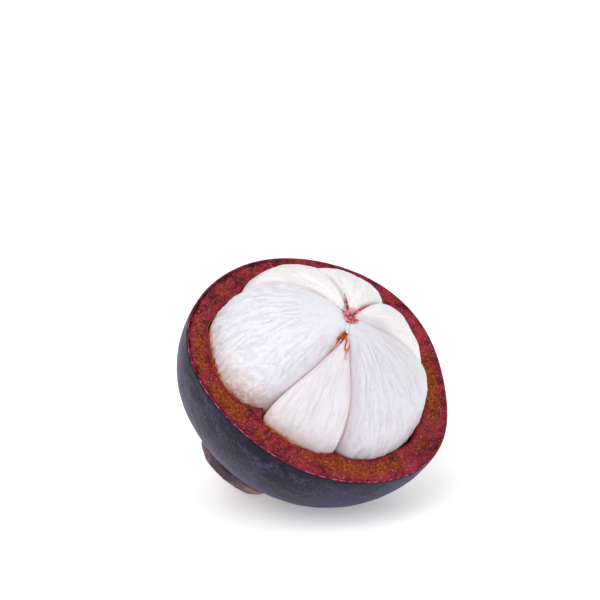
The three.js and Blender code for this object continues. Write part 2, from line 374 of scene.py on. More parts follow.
def add_node(tree: bpy.types.NodeTree, kind: str, settings: dict | None = None,
             inputs: Feeds | None = None) -> bpy.types.Node:
    """Adds a node with its settings and links.

    Args:
        tree: the material's node tree.
        kind: the node's type name.
        settings: the node's own properties, by name.
        inputs: its input sockets, by name or number, with what feeds each.

    Returns:
        The new node.
    """
    node = tree.nodes.new(kind)
    for name, value in (settings or {}).items():
        setattr(node, name, value)
    feed(tree, node, inputs or {})
    return node


class Join(Enum):
    """How two numbers are joined."""

    PLUS = "ADD"
    TIMES = "MULTIPLY"


class Ease(Enum):
    """How a step goes from its lower end to its upper one."""

    SMOOTH = "SMOOTHSTEP"
    STRAIGHT = "LINEAR"


class Source:
    """What gives a number on each point of a surface."""

    def __add__(self, other: "Source") -> "Joined":
        """The sum with another number."""
        return Joined(Join.PLUS, self, other)

    def __mul__(self, other: "Source") -> "Joined":
        """The product with another number."""
        return Joined(Join.TIMES, self, other)


@dataclass(frozen=True)
class Kept(Source):
    """A number that the piece keeps for each of its points."""

    name: str


@dataclass(frozen=True)
class Spots(Source):
    """Noise from 0 to 1 whose lumps lie size_mm apart.

    The factors in closer bring them nearer to each other along x, y and z, and twist distorts them. They are
    placed by the object, or by the piece's own map where map_name names one.
    """

    size_mm: float
    detail: float = 3.0
    closer: tuple[float, float, float] = (1, 1, 1)
    twist: float = 0.0
    map_name: str = ""


@dataclass(frozen=True)
class Step(Source):
    """A step of another number: least where that is low and most where it is high."""

    of: Source
    low: float
    high: float
    least: float = 0.0
    most: float = 1.0
    ease: Ease = Ease.SMOOTH


@dataclass(frozen=True)
class Joined(Source):
    """Two numbers joined into one."""

    how: Join
    first: Source
    second: Source


@dataclass(frozen=True)
class Paint:
    """A ground colour, and the colours over it from the lowest up, each with how much of it shows."""

    ground: str
    coats: tuple[tuple["str | Paint", Source], ...]


@dataclass(frozen=True)
class Bumps:
    """Bumps of depth_mm where their pattern goes from 0 to 1."""

    pattern: Source
    depth_mm: float
    strength: float


@dataclass
class Finish:
    """A finish: what the real surface is, as a material."""

    name: str
    roughness: float = 0.5
    ior: float = 1.45
    material: bpy.types.Material = field(init=False)

    def __post_init__(self) -> None:
        """Makes the material."""
        self.material = bpy.data.materials.new(self.name)
        self.material.use_nodes = True
        self.tree = self.material.node_tree
        self.tree.nodes.clear()
        self.place = add_node(self.tree, "ShaderNodeTexCoord").outputs["Object"]
        self.made: dict[Source, bpy.types.NodeSocket] = {}
        looks = {"Roughness": self.roughness, "IOR": self.ior} | self.looks()
        shader = add_node(self.tree, "ShaderNodeBsdfPrincipled", {}, looks)
        add_node(self.tree, "ShaderNodeOutputMaterial", {}, {"Surface": shader.outputs[0]})

    def looks(self) -> Feeds:
        """What feeds the shader's sockets, by name."""
        raise NotImplementedError

    def output(self, source: Source) -> bpy.types.NodeSocket:
        """The output that gives a source's number, with one set of nodes for each source.

        Args:
            source: where the number comes from.

        Returns:
            The output.
        """
        if source in self.made:
            return self.made[source]
        match source:
            case Kept():
                node = add_node(self.tree, "ShaderNodeAttribute", {"attribute_name": source.name})
                found = node.outputs["Fac"]
            case Spots():
                place = self.place
                if source.map_name:
                    place = add_node(self.tree, "ShaderNodeUVMap", {"uv_map": source.map_name}).outputs[0]
                scaled = add_node(self.tree, "ShaderNodeMapping", {}, {
                    "Vector": place, "Scale": source.closer}).outputs[0]
                found = add_node(self.tree, "ShaderNodeTexNoise", {}, {
                    "Vector": scaled, "Scale": 1 / (source.size_mm * MM), "Detail": source.detail,
                    "Distortion": source.twist}).outputs[0]
            case Step():
                found = add_node(self.tree, "ShaderNodeMapRange", {"interpolation_type": source.ease.value}, {
                    "Value": self.output(source.of), "From Min": source.low, "From Max": source.high,
                    "To Min": source.least, "To Max": source.most}).outputs[0]
            case Joined():
                found = add_node(self.tree, "ShaderNodeMath", {"operation": source.how.value}, {
                    0: self.output(source.first), 1: self.output(source.second)}).outputs[0]
        self.made[source] = found
        return found

    def painted(self, paint: str | Paint) -> bpy.types.NodeSocket | str:
        """The colour that comes out of a paint.

        Args:
            paint: a hex code, or a ground with coats over it.

        Returns:
            The hex code as it is, or the output that gives the colour.
        """
        if isinstance(paint, str):
            return paint
        colour = paint.ground
        for coat, share in paint.coats:
            colour = add_node(self.tree, "ShaderNodeMix", {"data_type": "RGBA"}, {
                MIX_SHARE: self.output(share), MIX_UNDER: colour,
                MIX_OVER: self.painted(coat)}).outputs[MIX_COLOUR]
        return colour

    def bumped(self, *layers: Bumps) -> bpy.types.NodeSocket:
        """The surface's direction under one or more layers of bumps, the first one lowest.

        Args:
            layers: the bumps.

        Returns:
            The output that gives the direction.
        """
        under = {}
        for bumps in layers:
            node = add_node(self.tree, "ShaderNodeBump", {}, {
                "Height": self.output(bumps.pattern), "Strength": bumps.strength,
                "Distance": bumps.depth_mm * MM} | under)
            under = {"Normal": node.outputs[0]}
        return under["Normal"]


class SkinFinish(Finish):
    """Ripe mangosteen skin: smooth and leathery, nearly black purple under a faint grey bloom.

    The bloom lies in soft patches and in fine streaks that run down from the rim, and shows as a dull blue
    grey. Where it is rubbed off, the dark skin itself shows. Real pores are under 0.1 mm wide, too fine to
    show, so they are drawn 0.34 mm apart.
    """

    def looks(self) -> Feeds:
        """Patches of bloom, streaks, reddish clouds and fine pores.

        Returns:
            What feeds the shader's sockets, by name.
        """
        streaks = Spots(0.9, 5, (1.0, 1.0, 0.2), 0.8)
        pores = Spots(0.34, 3)
        ragged = Step(Spots(2.6, 5, twist=0.8), 0.30, 0.70, -0.35, 0.35)
        kept = Step(Kept("rubbed") + ragged, 0.15, 1.0, 1.0, 0.12)
        patches = Step(Spots(7, 5, twist=0.6), 0.32, 0.64, 0.15, 1.0)
        bloom = patches * Step(streaks, 0.34, 0.70, 0.45, 1.0) * kept
        colour = Paint("#0d0914", (
            ("#494460", bloom),
            ("#35202f", Step(Spots(9, 3), 0.60, 0.76, 0.0, 0.35)),
            ("#06050a", Step(pores, 0.44, 0.64, 0.0, 0.72)),
            ("#746f8b", Step(Spots(0.38, 3, (1.0, 1.0, 0.5)), 0.52, 0.70, 0.0, 0.28) * kept),
            ("#0e0c13", Step(Kept("below_rim"), 3.2, 0.2, 0.0, 0.75)),
        ))
        return {
            "Base Color": self.painted(colour),
            "Roughness": self.output(Step(bloom, 0.0, 1.0, 0.38, 0.52, Ease.STRAIGHT)),
            "Normal": self.bumped(Bumps(streaks, 0.14, 0.4), Bumps(pores, 0.08, 0.6)),
            "Specular IOR Level": 0.14,
            "Specular Tint": "#f0e2ff",
            "Sheen Weight": 0.12,
            "Sheen Roughness": 0.45,
            "Sheen Tint": "#9a94d4",
        }


class PithFinish(Finish):
    """Freshly cut mangosteen rind: granular, moist and crimson, and tanned in patches where it dried.

    The cut skin shows as a thin bright line at its outer edge, over a broken crack darkened with painted
    shade.
    The glints on the specks of juice are too fine to show, and are painted as light specks 0.36 mm apart.
    """

    def looks(self) -> Feeds:
        """Zones from the skin line to the flesh, with patches, grains, a crack darkened with painted shade,
        and specks of juice painted light as their glints.

        Returns:
            What feeds the shader's sockets, by name.
        """
        from_skin = Kept("from_skin")
        from_flesh = Kept("from_flesh")
        grains = Spots(0.55, 4)
        fine = Spots(0.34, 3)
        middle = Step(from_skin, 0.9, 2.6) * Step(from_flesh, 0.2, 2.0)
        tanned = Step(Spots(5, 4, twist=0.5), 0.30, 0.70, -0.40, 0.40) + Kept("tan")
        uneven = from_skin + Step(Spots(1.3, 3), 0.3, 0.7, -0.16, 0.16)
        crack = Step(uneven, 0.26, 0.42) * Step(uneven, 1.05, 0.74) * Kept("crack")
        tan = Paint("#701e06", (("#a8500e", Step(grains, 0.34, 0.66)),))
        skin_line = Paint("#7a1330", (
            ("#d05c7c", Step(Spots(1.3, 5), 0.48, 0.62)),
            ("#2a0610", Step(Spots(2.1, 4), 0.56, 0.66, 0.0, 0.85)),
        ))
        colour = Paint("#540a18", (
            ("#a02a3a", Step(Spots(2.4, 5, twist=0.6), 0.34, 0.64)),
            ("#c2505e", Step(grains, 0.52, 0.72, 0.0, 0.50)),
            (tan, middle * Step(tanned, 0.15, 0.80, 0.0, 0.96)),
            ("#84121c", Step(from_flesh, 1.2, 0.1, 0.0, 0.7)),
            ("#2a0408", Step(fine, 0.50, 0.68, 0.0, 0.75)),
            # Light specks 0.36 mm apart: painted glints on the moist juice.
            ("#e79c80", Step(Spots(0.36, 2), 0.64, 0.72, 0.0, 0.60)),
            # The crack, darkened nearly black: painted shade.
            ("#180308", crack),
            (skin_line, Step(uneven, 0.42, 0.24)),
            ("#d9772b", Kept("amber") * Step(from_flesh, 0.40, 0.12)),
            ("#200306", Step(from_flesh, -0.5, -2.5, 0.0, 0.8)),
        ))
        return {
            "Base Color": self.painted(colour),
            "Roughness": self.output(Step(grains, 0.3, 0.7, 0.60, 0.36)),
            "Normal": self.bumped(Bumps(grains, 0.35, 0.7), Bumps(fine, 0.20, 0.8)),
            "Specular IOR Level": 0.18,
        }


@dataclass
class FleshFinish(Finish):
    """Ripe mangosteen flesh: moist, white and slightly translucent, with fine fibres from pole to pole.

    Light goes a little way in, so the creases stay bright, and thin juice on top gives it a soft gloss. The
    single fibres are too fine to show, and are drawn 1.1 mm apart.
    """

    roughness: float = 0.40
    white: str = "#e4e4ea"
    # A greyer white: painted shade in the rib grooves, and random mottling.
    groove_shade_and_mottle: str = "#cfcdd4"
    thread: str = "#d6d4dd"
    threads: float = 0.35

    def looks(self) -> Feeds:
        """White with faint fibres, painted shade in the rib grooves, along the creases and in hollows, stains
        by the rind and thin veins.

        Returns:
            What feeds the shader's sockets, by name.
        """
        threads = Spots(1.1, 4, (1.0, 0.2, 1.0), 0.7, "fibres")
        stain = Kept("stain") * Step(Spots(0.7, 5), 0.30, 0.66, 0.40, 1.0)
        amber = Kept("amber") * Step(Spots(0.7, 3), 0.3, 0.6, 0.65, 1.0)
        blush = Kept("blush") * Step(Spots(0.8, 3), 0.36, 0.62, 0.2, 1.0)
        colour = Paint(self.white, (
            (self.thread, Step(threads, 0.48, 0.68, 0.0, self.threads)),
            # Darker in the grooves between the ribs: painted shade.
            (self.groove_shade_and_mottle, Step(Kept("rib"), 0.2, -1.0, 0.0, 0.38)),
            (self.groove_shade_and_mottle, Step(Spots(0.8, 4), 0.50, 0.72, 0.0, 0.40)),
            ("#c3bcc5", Step(Kept("shade"), 0.0, 1.0, 0.0, 0.60)),
            # Pinkish tint near the creases: partly the flesh's own tint, partly painted shade in the crease.
            ("#d0b6b4", Step(Kept("crease"), 0.3, 1.0, 0.0, 0.40)),
            ("#d4a899", Step(stain, 0.05, 0.90, 0.0, 0.58)),
            ("#a85f48", Step(stain, 0.65, 1.0, 0.0, 0.30)),
            ("#c4a184", Step(Kept("vein"), 0.3, 0.95, 0.0, 0.32)),
            ("#d0905a", Step(amber, 0.10, 0.60, 0.0, 0.75)),
            ("#9a3a12", Step(amber, 0.55, 0.95, 0.0, 0.9)),
            ("#cf4a58", Step(blush, 0.10, 1.0, 0.0, 0.65)),
        ))
        return {
            "Base Color": self.painted(colour),
            "Normal": self.bumped(Bumps(threads, 0.12, 0.30), Bumps(Spots(0.55, 3), 0.14, 0.7)),
            "Subsurface Weight": 0.75,
            "Subsurface Radius": (1.0, 0.76, 0.66),
            "Subsurface Scale": 1.3 * MM,
            "Coat Weight": 0.10,
            "Coat Roughness": 0.20,
        }


@dataclass
class SepalFinish(Finish):
    """A dried mangosteen sepal: thick, leathery and purple brown, greenish where it stayed young.

    Its net of veins is too fine to show, and is drawn as wrinkles 0.7 mm apart.
    """

    roughness: float = 0.52

    def looks(self) -> Feeds:
        """Purple brown with olive and tan patches, a pale edge and fine wrinkles.

        Returns:
            What feeds the shader's sockets, by name.
        """
        fine = Spots(0.7, 4)
        olive = Step(Spots(8, 4, twist=0.4), 0.35, 0.65, -0.5, 0.5) + Kept("young")
        colour = Paint("#593f50", (
            ("#7c5f72", Step(fine, 0.30, 0.72)),
            ("#66602c", Step(olive, 0.35, 1.1, 0.0, 0.75)),
            ("#5a2028", Step(Spots(5, 3), 0.56, 0.74, 0.0, 0.6)),
            ("#b08a80", Step(Kept("edge"), 0.20, 0.9, 0.0, 0.80)),
            ("#1e1216", Step(Spots(1.6, 3), 0.63, 0.75, 0.0, 0.35)),
            ("#25151a", Step(Kept("margin"), 0.2, 1.0, 0.0, 0.55)),
        ))
        return {
            "Base Color": self.painted(colour),
            "Normal": self.bumped(Bumps(Spots(2.2, 4), 0.25, 0.4), Bumps(fine, 0.12, 0.5)),
        }


@dataclass
class StemFinish(Finish):
    """Green mangosteen twig: dull bark, ochre and yellow green, and corky brown where it broke."""

    roughness: float = 0.6

    def looks(self) -> Feeds:
        """Ochre bark in patches, and a fibrous brown end.

        Returns:
            What feeds the shader's sockets, by name.
        """
        end = Paint("#4a2c18", (("#a27b4c", Step(Spots(0.5, 4), 0.38, 0.64)),))
        colour = Paint("#6c5a17", (
            ("#a79a35", Step(Spots(0.9, 5), 0.35, 0.65)),
            ("#5e3a17", Step(Spots(2.2, 4), 0.52, 0.68, 0.0, 0.85)),
            (end, Step(Kept("broken"), 0.35, 0.8)),
        ))
        return {"Base Color": self.painted(colour), "Normal": self.bumped(Bumps(Spots(0.6, 4), 0.25, 0.6))}


@dataclass
class FibreFinish(Finish):
    """Moist fibres of mangosteen pith: thin, soft and glossy, in one of their tints."""

    roughness: float = 0.34
    dark: str = "#b0304a"
    light: str = "#eaa3a8"

    def looks(self) -> Feeds:
        """Two shades that mix along each fibre.

        Returns:
            What feeds the shader's sockets, by name.
        """
        colour = Paint(self.dark, ((self.light, Step(Spots(0.8, 4), 0.38, 0.64)),))
        return {
            "Base Color": self.painted(colour),
            "Normal": self.bumped(Bumps(Spots(0.3, 3), 0.12, 0.7)),
            "Subsurface Weight": 0.25,
            "Subsurface Radius": (1.0, 0.3, 0.3),
            "Subsurface Scale": 0.4 * MM,
        }


@dataclass
class TableFinish(Finish):
    """Frosted white acrylic, lit from below: a light table's top, which keeps the shadows soft."""

    roughness: float = 0.6

    def looks(self) -> Feeds:
        """White with the faintest unevenness, and a faint light of its own."""
        colour = Paint("#f8f8f8", (("#fcfcfc", Spots(60, 2)),))
        return {"Base Color": self.painted(colour), "Emission Color": "#ffffff", "Emission Strength": 0.34}


# ---------------------------------------------------------------------------------------------------------
# Flesh

@dataclass(frozen=True)
class Crease:
    """A crease between two segments, by its bearings at three distances from the flesh's axis.

    Nearer the middle than the first distance it swings to the bearing in meets, if that is given.
    """

    near: float
    halfway: float
    outside: float
    meets: float | None = None

    DISTANCES = (5.0, 14.0, 23.0)
    MEETING = 3.2

    def bearing(self, radius: Array) -> Array:
        """Where the crease runs.

        Args:
            radius: distances from the flesh's axis.

        Returns:
            Its bearing at each of them.
        """
        first, middle, last = self.DISTANCES
        t = (np.clip(radius, first, last) - first) / (middle - first)
        bend = (self.outside - 2 * self.halfway + self.near) / 2
        far = self.near + (self.halfway - self.near) * t + bend * t * (t - 1)
        if self.meets is None:
            return far
        return self.meets + (far - self.meets) * smooth(self.MEETING, first, radius)


@dataclass(frozen=True)
class Flank:
    """How a segment's back comes up from one of its creases.

    low and high say how deep the crease is, as shares of the crest radius, level with the cut and well above.
    """

    shoulder: float
    low: float
    high: float


@dataclass(frozen=True)
class Ribs:
    """The fibres that show as ribs on a segment's back, regular where order is 1 and crumpled where it is 0.

    Nearer the middle than full they grow fainter. The regular ones wander sideways by drift pitches and the
    crumpled ones by bend mm, and these stand crumple times as high.
    """

    pitch: float
    length: float
    height: float
    order: float
    full: float = 11.0
    drift: float = 1.1
    bend: float = 2.2
    crumple: float = 2.6


@dataclass(frozen=True)
class Tip:
    """The end of a segment at the middle: how near it comes, and the dimple it dips into."""

    inner: float
    dimple: float
    share: float


@dataclass(frozen=True)
class Shade:
    """The shade beside a crease where the next segment stands higher.

    It starts at one distance from the flesh's axis and is full at another, and it fades from near the crease
    to far off it. It lies along the first crease, or along the second one.
    """

    start: float
    full: float
    near: float
    far: float
    strength: float = 1.0
    on_second: bool = False

    def cover(self, radius: Array, share: Array, width: Array) -> Array:
        """How strong the shade is, by radius, by share of the way across the back, and by its width in mm."""
        off_crease = (1 - share if self.on_second else share) * width
        return self.strength * smooth(self.start, self.full, radius) * smooth(self.far, self.near, off_crease)


@dataclass(frozen=True)
class Segment:
    """One segment of the flesh, between two creases, with how strongly the juice in front stains it."""

    name: str
    crest: float
    creases: tuple[Crease, Crease]
    flanks: tuple[Flank, Flank]
    ribs: Ribs
    tip: Tip
    finish: str = "cream flesh"
    shades: tuple[Shade, ...] = ()
    juice: float = 0.2

    def sides(self, radius: Array) -> tuple[Array, Array]:
        """Bearings of the two creases at each radius, the second one counted on past 360 degrees."""
        start, end = (crease.bearing(radius) for crease in self.creases)
        return start, np.where(end < start, end + 360, end)

    def fullness(self, share: Array, latitude: Array) -> Array:
        """How much of the crest radius the back keeps.

        Args:
            share: how far each point is from the first crease to the second, 0 to 1.
            latitude: its latitude on the ball, in radians.

        Returns:
            1 on the back, and less towards the creases and the middle.
        """
        radius = self.crest * np.cos(latitude)
        start, end = self.sides(radius)
        span = np.radians(end - start) * radius
        first, second = self.flanks
        room = first.shoulder / (first.shoulder + second.shoulder)
        on_first = share < room
        distance = np.where(on_first, share, 1 - share) * span
        shoulder = np.minimum(np.where(on_first, first.shoulder, second.shoulder),
                              span * np.where(on_first, room, 1 - room))
        near = np.clip(distance / np.maximum(shoulder, HAIR), 0, 1)
        arch = np.sqrt(1 - (1 - near) ** 2)
        lift = smooth(0.0, math.radians(45), latitude)
        depths = [flank.low + (flank.high - flank.low) * lift for flank in self.flanks]
        in_crease = np.where(on_first, depths[0], depths[1])
        backed = in_crease + (1 - in_crease) * arch
        at_pole = np.exp(-(radius / self.tip.dimple) ** 2)
        return backed * (1 - at_pole) + self.tip.share * at_pole


FRONT_LEFT = Crease(-46, -55, -66, -40.8)
FRONT_RIGHT = Crease(-35, -24, -20, -40.2)
RIGHT = Crease(58, 62, 64)
BACK_RIGHT = Crease(117, 112, 113)
BACK_LEFT = Crease(163, 163, 167)
LEFT = Crease(200, 204, 209)

SEGMENTS = (
    Segment("segment_1", 24.0, (FRONT_LEFT, FRONT_RIGHT), (Flank(4, 0.86, 0.965), Flank(3, 0.93, 0.97)),
            Ribs(1.3, 9, 0.075, 0.35), Tip(4.2, 3.6, 0.90), "streaked flesh", juice=1.0),
    Segment("segment_2", 25.2, (FRONT_RIGHT, RIGHT), (Flank(12, 0.873, 0.925), Flank(6, 0.92, 0.92)),
            Ribs(1.65, 5, 0.135, 0.42), Tip(0.7, 2.2, 0.92), "ribbed flesh",
            (Shade(5.0, 11.0, 0.4, 3.6),)),
    Segment("segment_3", 24.1, (RIGHT, BACK_RIGHT), (Flank(6, 0.962, 0.90), Flank(6, 0.871, 0.88)),
            Ribs(2.2, 9, 0.04, 0.2), Tip(1.1, 4.5, 0.88), shades=(Shade(15.0, 6.0, 0.3, 4.5),)),
    Segment("segment_4", 24.6, (BACK_RIGHT, BACK_LEFT), (Flank(7, 0.853, 0.88), Flank(7, 0.878, 0.88)),
            Ribs(2.4, 8, 0.04, 0.0), Tip(1.1, 5.0, 0.88)),
    Segment("segment_5", 25.0, (BACK_LEFT, LEFT), (Flank(7, 0.864, 0.88), Flank(10, 0.848, 0.90)),
            Ribs(2.4, 9, 0.05, 0.1), Tip(1.1, 4.5, 0.88)),
    Segment("segment_6", 25.4, (LEFT, FRONT_LEFT), (Flank(14, 0.834, 0.92), Flank(16, 0.748, 0.92)),
            Ribs(1.35, 3.2, 0.125, 0.1, 17), Tip(0.7, 2.2, 0.92), "flesh",
            (Shade(5.0, 11.0, 0.5, 7.0, 0.7, True),)),
)


@dataclass
class Flesh:
    """The ball of flesh: six segments that meet on an axis of their own.

    A segment's back takes back_share of the columns and each of its sides side_share. The powers row_power
    and side_power bring its rows closer together towards the top, and the columns of a side towards the
    middle. The whole back lies a hair, sunk, under the solid's, so that few ribs pass that.
    """

    segments: tuple[Segment, ...] = SEGMENTS
    axis: tuple[float, float] = (-0.35, -1.0)
    centre_z: float = -1.0
    half_height: float = 18.6
    gap: float = 0.04
    back_share: float = 0.78
    side_share: float = 0.09
    row_power: float = 0.62
    side_power: float = 0.8
    end_row: float = 0.002
    columns: int = 240
    rings: int = 176
    lump_height: float = 0.22
    sunk: float = 0.10
    smooth_edge: float = 0.05
    stains: tuple[Stain, ...] = (
        Stain(280, 30, 1.0, 10.0, -0.5), Stain(312, 24, 0.6, 9.0, -0.8), Stain(5, 30, 0.4, 2.5, -0.5))
    hub_at: tuple[float, float] = (-1.4, 0.8)
    hub_arms: tuple[Stain, ...] = (Stain(160, 16, 1.0, 9, 4), Stain(205, 16, 1.0, 8, 3))
    veins: tuple[tuple[tuple[float, float], ...], ...] = (
        ((263, 24.2), (261, 22.8), (258, 20.5)),
        ((265, 21.1), (270, 18.6), (272, 16.9), (278, 15.2), (279, 12.3), (276, 10.3)),
        ((257, 17.0), (260, 14.9), (265, 12.9)),
        ((286, 14.4), (295, 12.8), (303, 10.8), (306, 9.0)),
        ((276, 21.6), (282, 19.1)),
    )
    vein_half_width: float = 0.17
    map_radius: float = 25.0
    map_height: float = 22.0
    marked_from: float = -2.0
    soaked_from: float = -3.0
    blushed_from: float = 8.0
    pieces: list[bpy.types.Object] = field(default_factory=list)

    @property
    def cut_latitude(self) -> float:
        """The latitude at which the ball passes the cut, in radians."""
        return math.asin(-self.centre_z / self.half_height)

    def on_axis(self, points: Array) -> Array:
        """Moves points from the flesh's own axis to the fruit's."""
        return points + np.array([*self.axis, 0.0])

    def back(self, segment: Segment, share: Array, latitude: Array) -> tuple[Array, Array]:
        """Places of points on a segment's back.

        Args:
            segment: the segment.
            share: how far each point is across the back, 0 to 1.
            latitude: its latitude on the ball, in radians.

        Returns:
            Their distances from the flesh's axis, and their heights.
        """
        full = segment.fullness(share, latitude)
        radius = segment.crest * np.cos(latitude) * full
        return radius, self.centre_z + self.half_height * np.sin(latitude) * full

    def reach(self, bearing: Array, latitude: Array) -> Array:
        """How far the flesh reaches from its centre.

        Args:
            bearing: bearings about its axis.
            latitude: latitudes on the ball.

        Returns:
            Its reach on each bearing, at each latitude.
        """
        radius = Crease.DISTANCES[-1] * np.cos(latitude)
        found = np.full(bearing.shape, self.segments[0].crest * 0.8)
        for segment in self.segments:
            start, end = segment.sides(radius)
            turned = start + (bearing - start) % 360
            share = (turned - start) / (end - start)
            here = turned < end
            full = segment.crest * segment.fullness(np.clip(share, 0, 1), latitude)
            found = np.where(here, full, found)
        return found

    def shape(self, segment: Segment, number: int, around: Array, along: Array) -> tuple[Array, Tags]:
        """The form of one segment: over its back, in along one side, and out along the other.

        Args:
            segment: the segment.
            number: its place in the row.
            around: how far round the ball each point is, 0 to 1.
            along: how far up from the lower pole it is, 0 to 1.

        Returns:
            The points, and the numbers that the piece keeps for its material.
        """
        over, side = self.back_share, self.side_share
        steepest = math.acos((segment.tip.inner + 0.5) / segment.crest)
        rows = np.clip(along, self.end_row, 1 - self.end_row)
        latitude = steepest * (2 * rows ** self.row_power - 1)
        share = np.where(around < over, around / over, 1.0)
        share = np.where(around > over + side, 1 - (around - over - side) / (1 - over - 2 * side), share)
        share = np.clip(share, 0, 1)
        inward = np.where(around < over, 0, (around - over) / side)
        inward = np.where(around > 1 - side, (1 - around) / side, np.clip(inward, 0, 1)) ** self.side_power
        radius, z = self.back(segment, share, latitude)
        out, rib = self.ribbing(segment, number, share, latitude)
        out = out * (around < over)
        radius = radius + out * np.cos(latitude)
        z = z + out * np.sin(latitude)
        tags = self.marks(segment, share, radius, z)
        tags["rib"] = rib
        low, high = (self.back(segment, np.zeros(1), np.array([end]))[1][0] for end in (-steepest, steepest))
        inner_z = low + (high - low) * (latitude / steepest + 1) / 2
        radius = radius + (segment.tip.inner - radius) * inward
        z = z + (inner_z - z) * inward
        start, end = segment.sides(radius)
        slack = np.degrees(np.arcsin(np.clip(self.gap / 2 / radius, 0, 1)))
        bearing = start + slack + (end - start - 2 * slack) * share
        at_pole = (along <= 0) | (along >= 1)
        bearing = np.where(at_pole, (start + end) / 2, bearing)
        radius = np.where(at_pole, segment.tip.inner + 0.2, radius)
        return self.on_axis(polar(radius, bearing, z)), tags

    def ribbing(self, segment: Segment, number: int, share: Array, latitude: Array) -> tuple[Array, Array]:
        """Soft lumps and ribs on a segment's back.

        Args:
            segment: the segment.
            number: its place in the row, which seeds its pattern.
            share: how far each point is across the back.
            latitude: its latitude on the ball.

        Returns:
            How far each point stands out, in mm, and how high on a rib it is, from -1 to 1.
        """
        radius = segment.crest * np.cos(latitude)
        start, end = segment.sides(radius)
        across = np.radians(start + (end - start) * share) * segment.crest
        up = latitude * self.half_height
        ribs = segment.ribs
        flat = np.zeros(share.shape)
        warp = grain(columns_of(across, up * 0.6, flat), 6.0, number + 21, 2)
        waves = np.sin(2 * math.pi * (across / ribs.pitch + ribs.drift * warp))
        bent = across + ribs.bend * (1 - ribs.order) * warp
        creases = grain(columns_of(bent / ribs.pitch, up / ribs.length, flat), 1.0, number + 1, 3)
        regular = waves * (0.55 + 0.9 * np.abs(creases))
        rib = ribs.order * regular + (1 - ribs.order) * ribs.crumple * creases
        lumps = Lumps(self.lump_height, 7.0, number + 11, 2).over(columns_of(across, up, flat))
        beside = smooth(0.0, self.smooth_edge, share) * smooth(0.0, self.smooth_edge, 1 - share)
        fade = smooth(0.25 * ribs.full, ribs.full, radius) * beside
        return (lumps + ribs.height * rib) * fade - self.sunk, np.clip(rib * fade, -1, 1)

    def marks(self, segment: Segment, share: Array, radius: Array, z: Array) -> Tags:
        """Stains and tints of a segment's back, with painted shade along its creases and in its hollows.

        Args:
            segment: the segment.
            share: how far each point is across the back.
            radius: its distance from the flesh's axis.
            z: its height over the cut.

        Returns:
            For each mark, how strong it is on each point, from 0 to 1.
        """
        start, end = segment.sides(radius)
        bearing = start + (end - start) * share
        rim = smooth(1.8, -0.6, z) * (0.175 + Patch(300, 75, 0.325).cover(bearing, z))
        soaked = (Patch(303, 17, segment.juice), Patch(256, 26, 0.9))
        turn = np.radians(bearing)
        from_hub = np.hypot(radius * np.cos(turn) - self.hub_at[0], radius * np.sin(turn) - self.hub_at[1])
        arms = strongest(self.hub_arms, bearing, radius)
        width = np.radians(end - start) * radius
        aside = np.minimum(share, 1 - share) * width
        shaded = sum((shade.cover(radius, share, width) for shade in segment.shades), np.zeros(share.shape))
        return {
            "stain": np.clip(np.maximum(rim, strongest(self.stains, bearing, z)), 0, 1),
            "amber": strongest(soaked, bearing) * smooth(1.3, -0.7, z) * (z > self.soaked_from),
            "vein": self.vein(radius, bearing, z),
            "blush": np.maximum(smooth(4.2, 0.8, from_hub), 0.5 * arms) * (z > self.blushed_from),
            # The crease mark is partly a pinkish tint and partly painted shade in the crease.
            "crease": smooth(1.5, 0.0, aside) * smooth(3.0, 9.0, radius) * (z > self.marked_from),
            "shade": shaded * (z > self.marked_from),
        }

    def vein(self, radius: Array, bearing: Array, z: Array) -> Array:
        """The veins, with breaks in them.

        Args:
            radius: each point's distance from the flesh's axis.
            bearing: its bearing.
            z: its height over the cut.

        Returns:
            1 on a vein and 0 away from it.
        """
        places = polar(radius, bearing, np.zeros(radius.shape))
        wobble = grain(places, 1.6, 31, 2)
        near = np.zeros(radius.shape)
        for vein in self.veins:
            line = [polar(np.array([r]), np.array([b]), np.zeros(1))[0, :2] for b, r in vein]
            for first, second in zip(line, line[1:]):
                flat = places[:, :2] + 0.5 * wobble[:, None] - first
                along = second - first
                t = np.clip(flat @ along / (along @ along), 0, 1)
                away = np.linalg.norm(flat - t[:, None] * along, axis=1)
                near = np.maximum(near, bump_at(0, self.vein_half_width, away))
        return near * (z > 0) * smooth(-0.35, 0.15, grain(places, 2.5, 32, 2))

    def build(self, finishes: dict[str, Finish]) -> None:
        """Builds the six segments and dresses them.

        Args:
            finishes: every finish by name.
        """
        for number, segment in enumerate(self.segments):
            piece = shaped_ball(f"flesh_{segment.name}", self.columns, self.rings,
                                partial(self.shape, segment, number))
            self.unroll(piece, own_points(piece))
            piece.data.materials.append(finishes[segment.finish].material)
            hand_over(piece, "flesh", segment.name)
            self.pieces.append(piece)

    def unroll(self, piece: bpy.types.Object, points: Array) -> None:
        """Gives a segment a map in metres: across its back, and along it from pole to pole.

        Args:
            piece: the segment's piece.
            points: its points in the fruit's frame.
        """
        flat = points - np.array([*self.axis, self.centre_z])
        bearing = np.radians(np.degrees(np.arctan2(flat[:, 1], flat[:, 0])) % 360)
        passes_zero = np.ptp(bearing) > 5
        if passes_zero:
            bearing = np.where(bearing > math.pi, bearing - 2 * math.pi, bearing)
        up = np.arctan2(flat[:, 2], np.hypot(flat[:, 0], flat[:, 1]))
        places = np.stack([bearing * self.map_radius * MM, up * self.map_height * MM], axis=1)
        layer = piece.data.uv_layers.new(name="fibres")
        layer.data.foreach_set("uv", places[corner_points(piece)].ravel())

    def surface(self) -> BVHTree:
        """All segments as one surface to lay things on.

        Returns:
            The surface in the fruit's frame.
        """
        points, faces = [], []
        for piece in self.pieces:
            first = len(points)
            points.extend(map(tuple, own_points(piece)))
            faces.extend([first + v for v in face.vertices] for face in piece.data.polygons)
        return BVHTree.FromPolygons(points, faces)


# ---------------------------------------------------------------------------------------------------------
# Rind

@dataclass(frozen=True)
class Wave:
    """One of the waves by which the rind's outline departs from a circle."""

    bulges: int
    height: float
    at: float


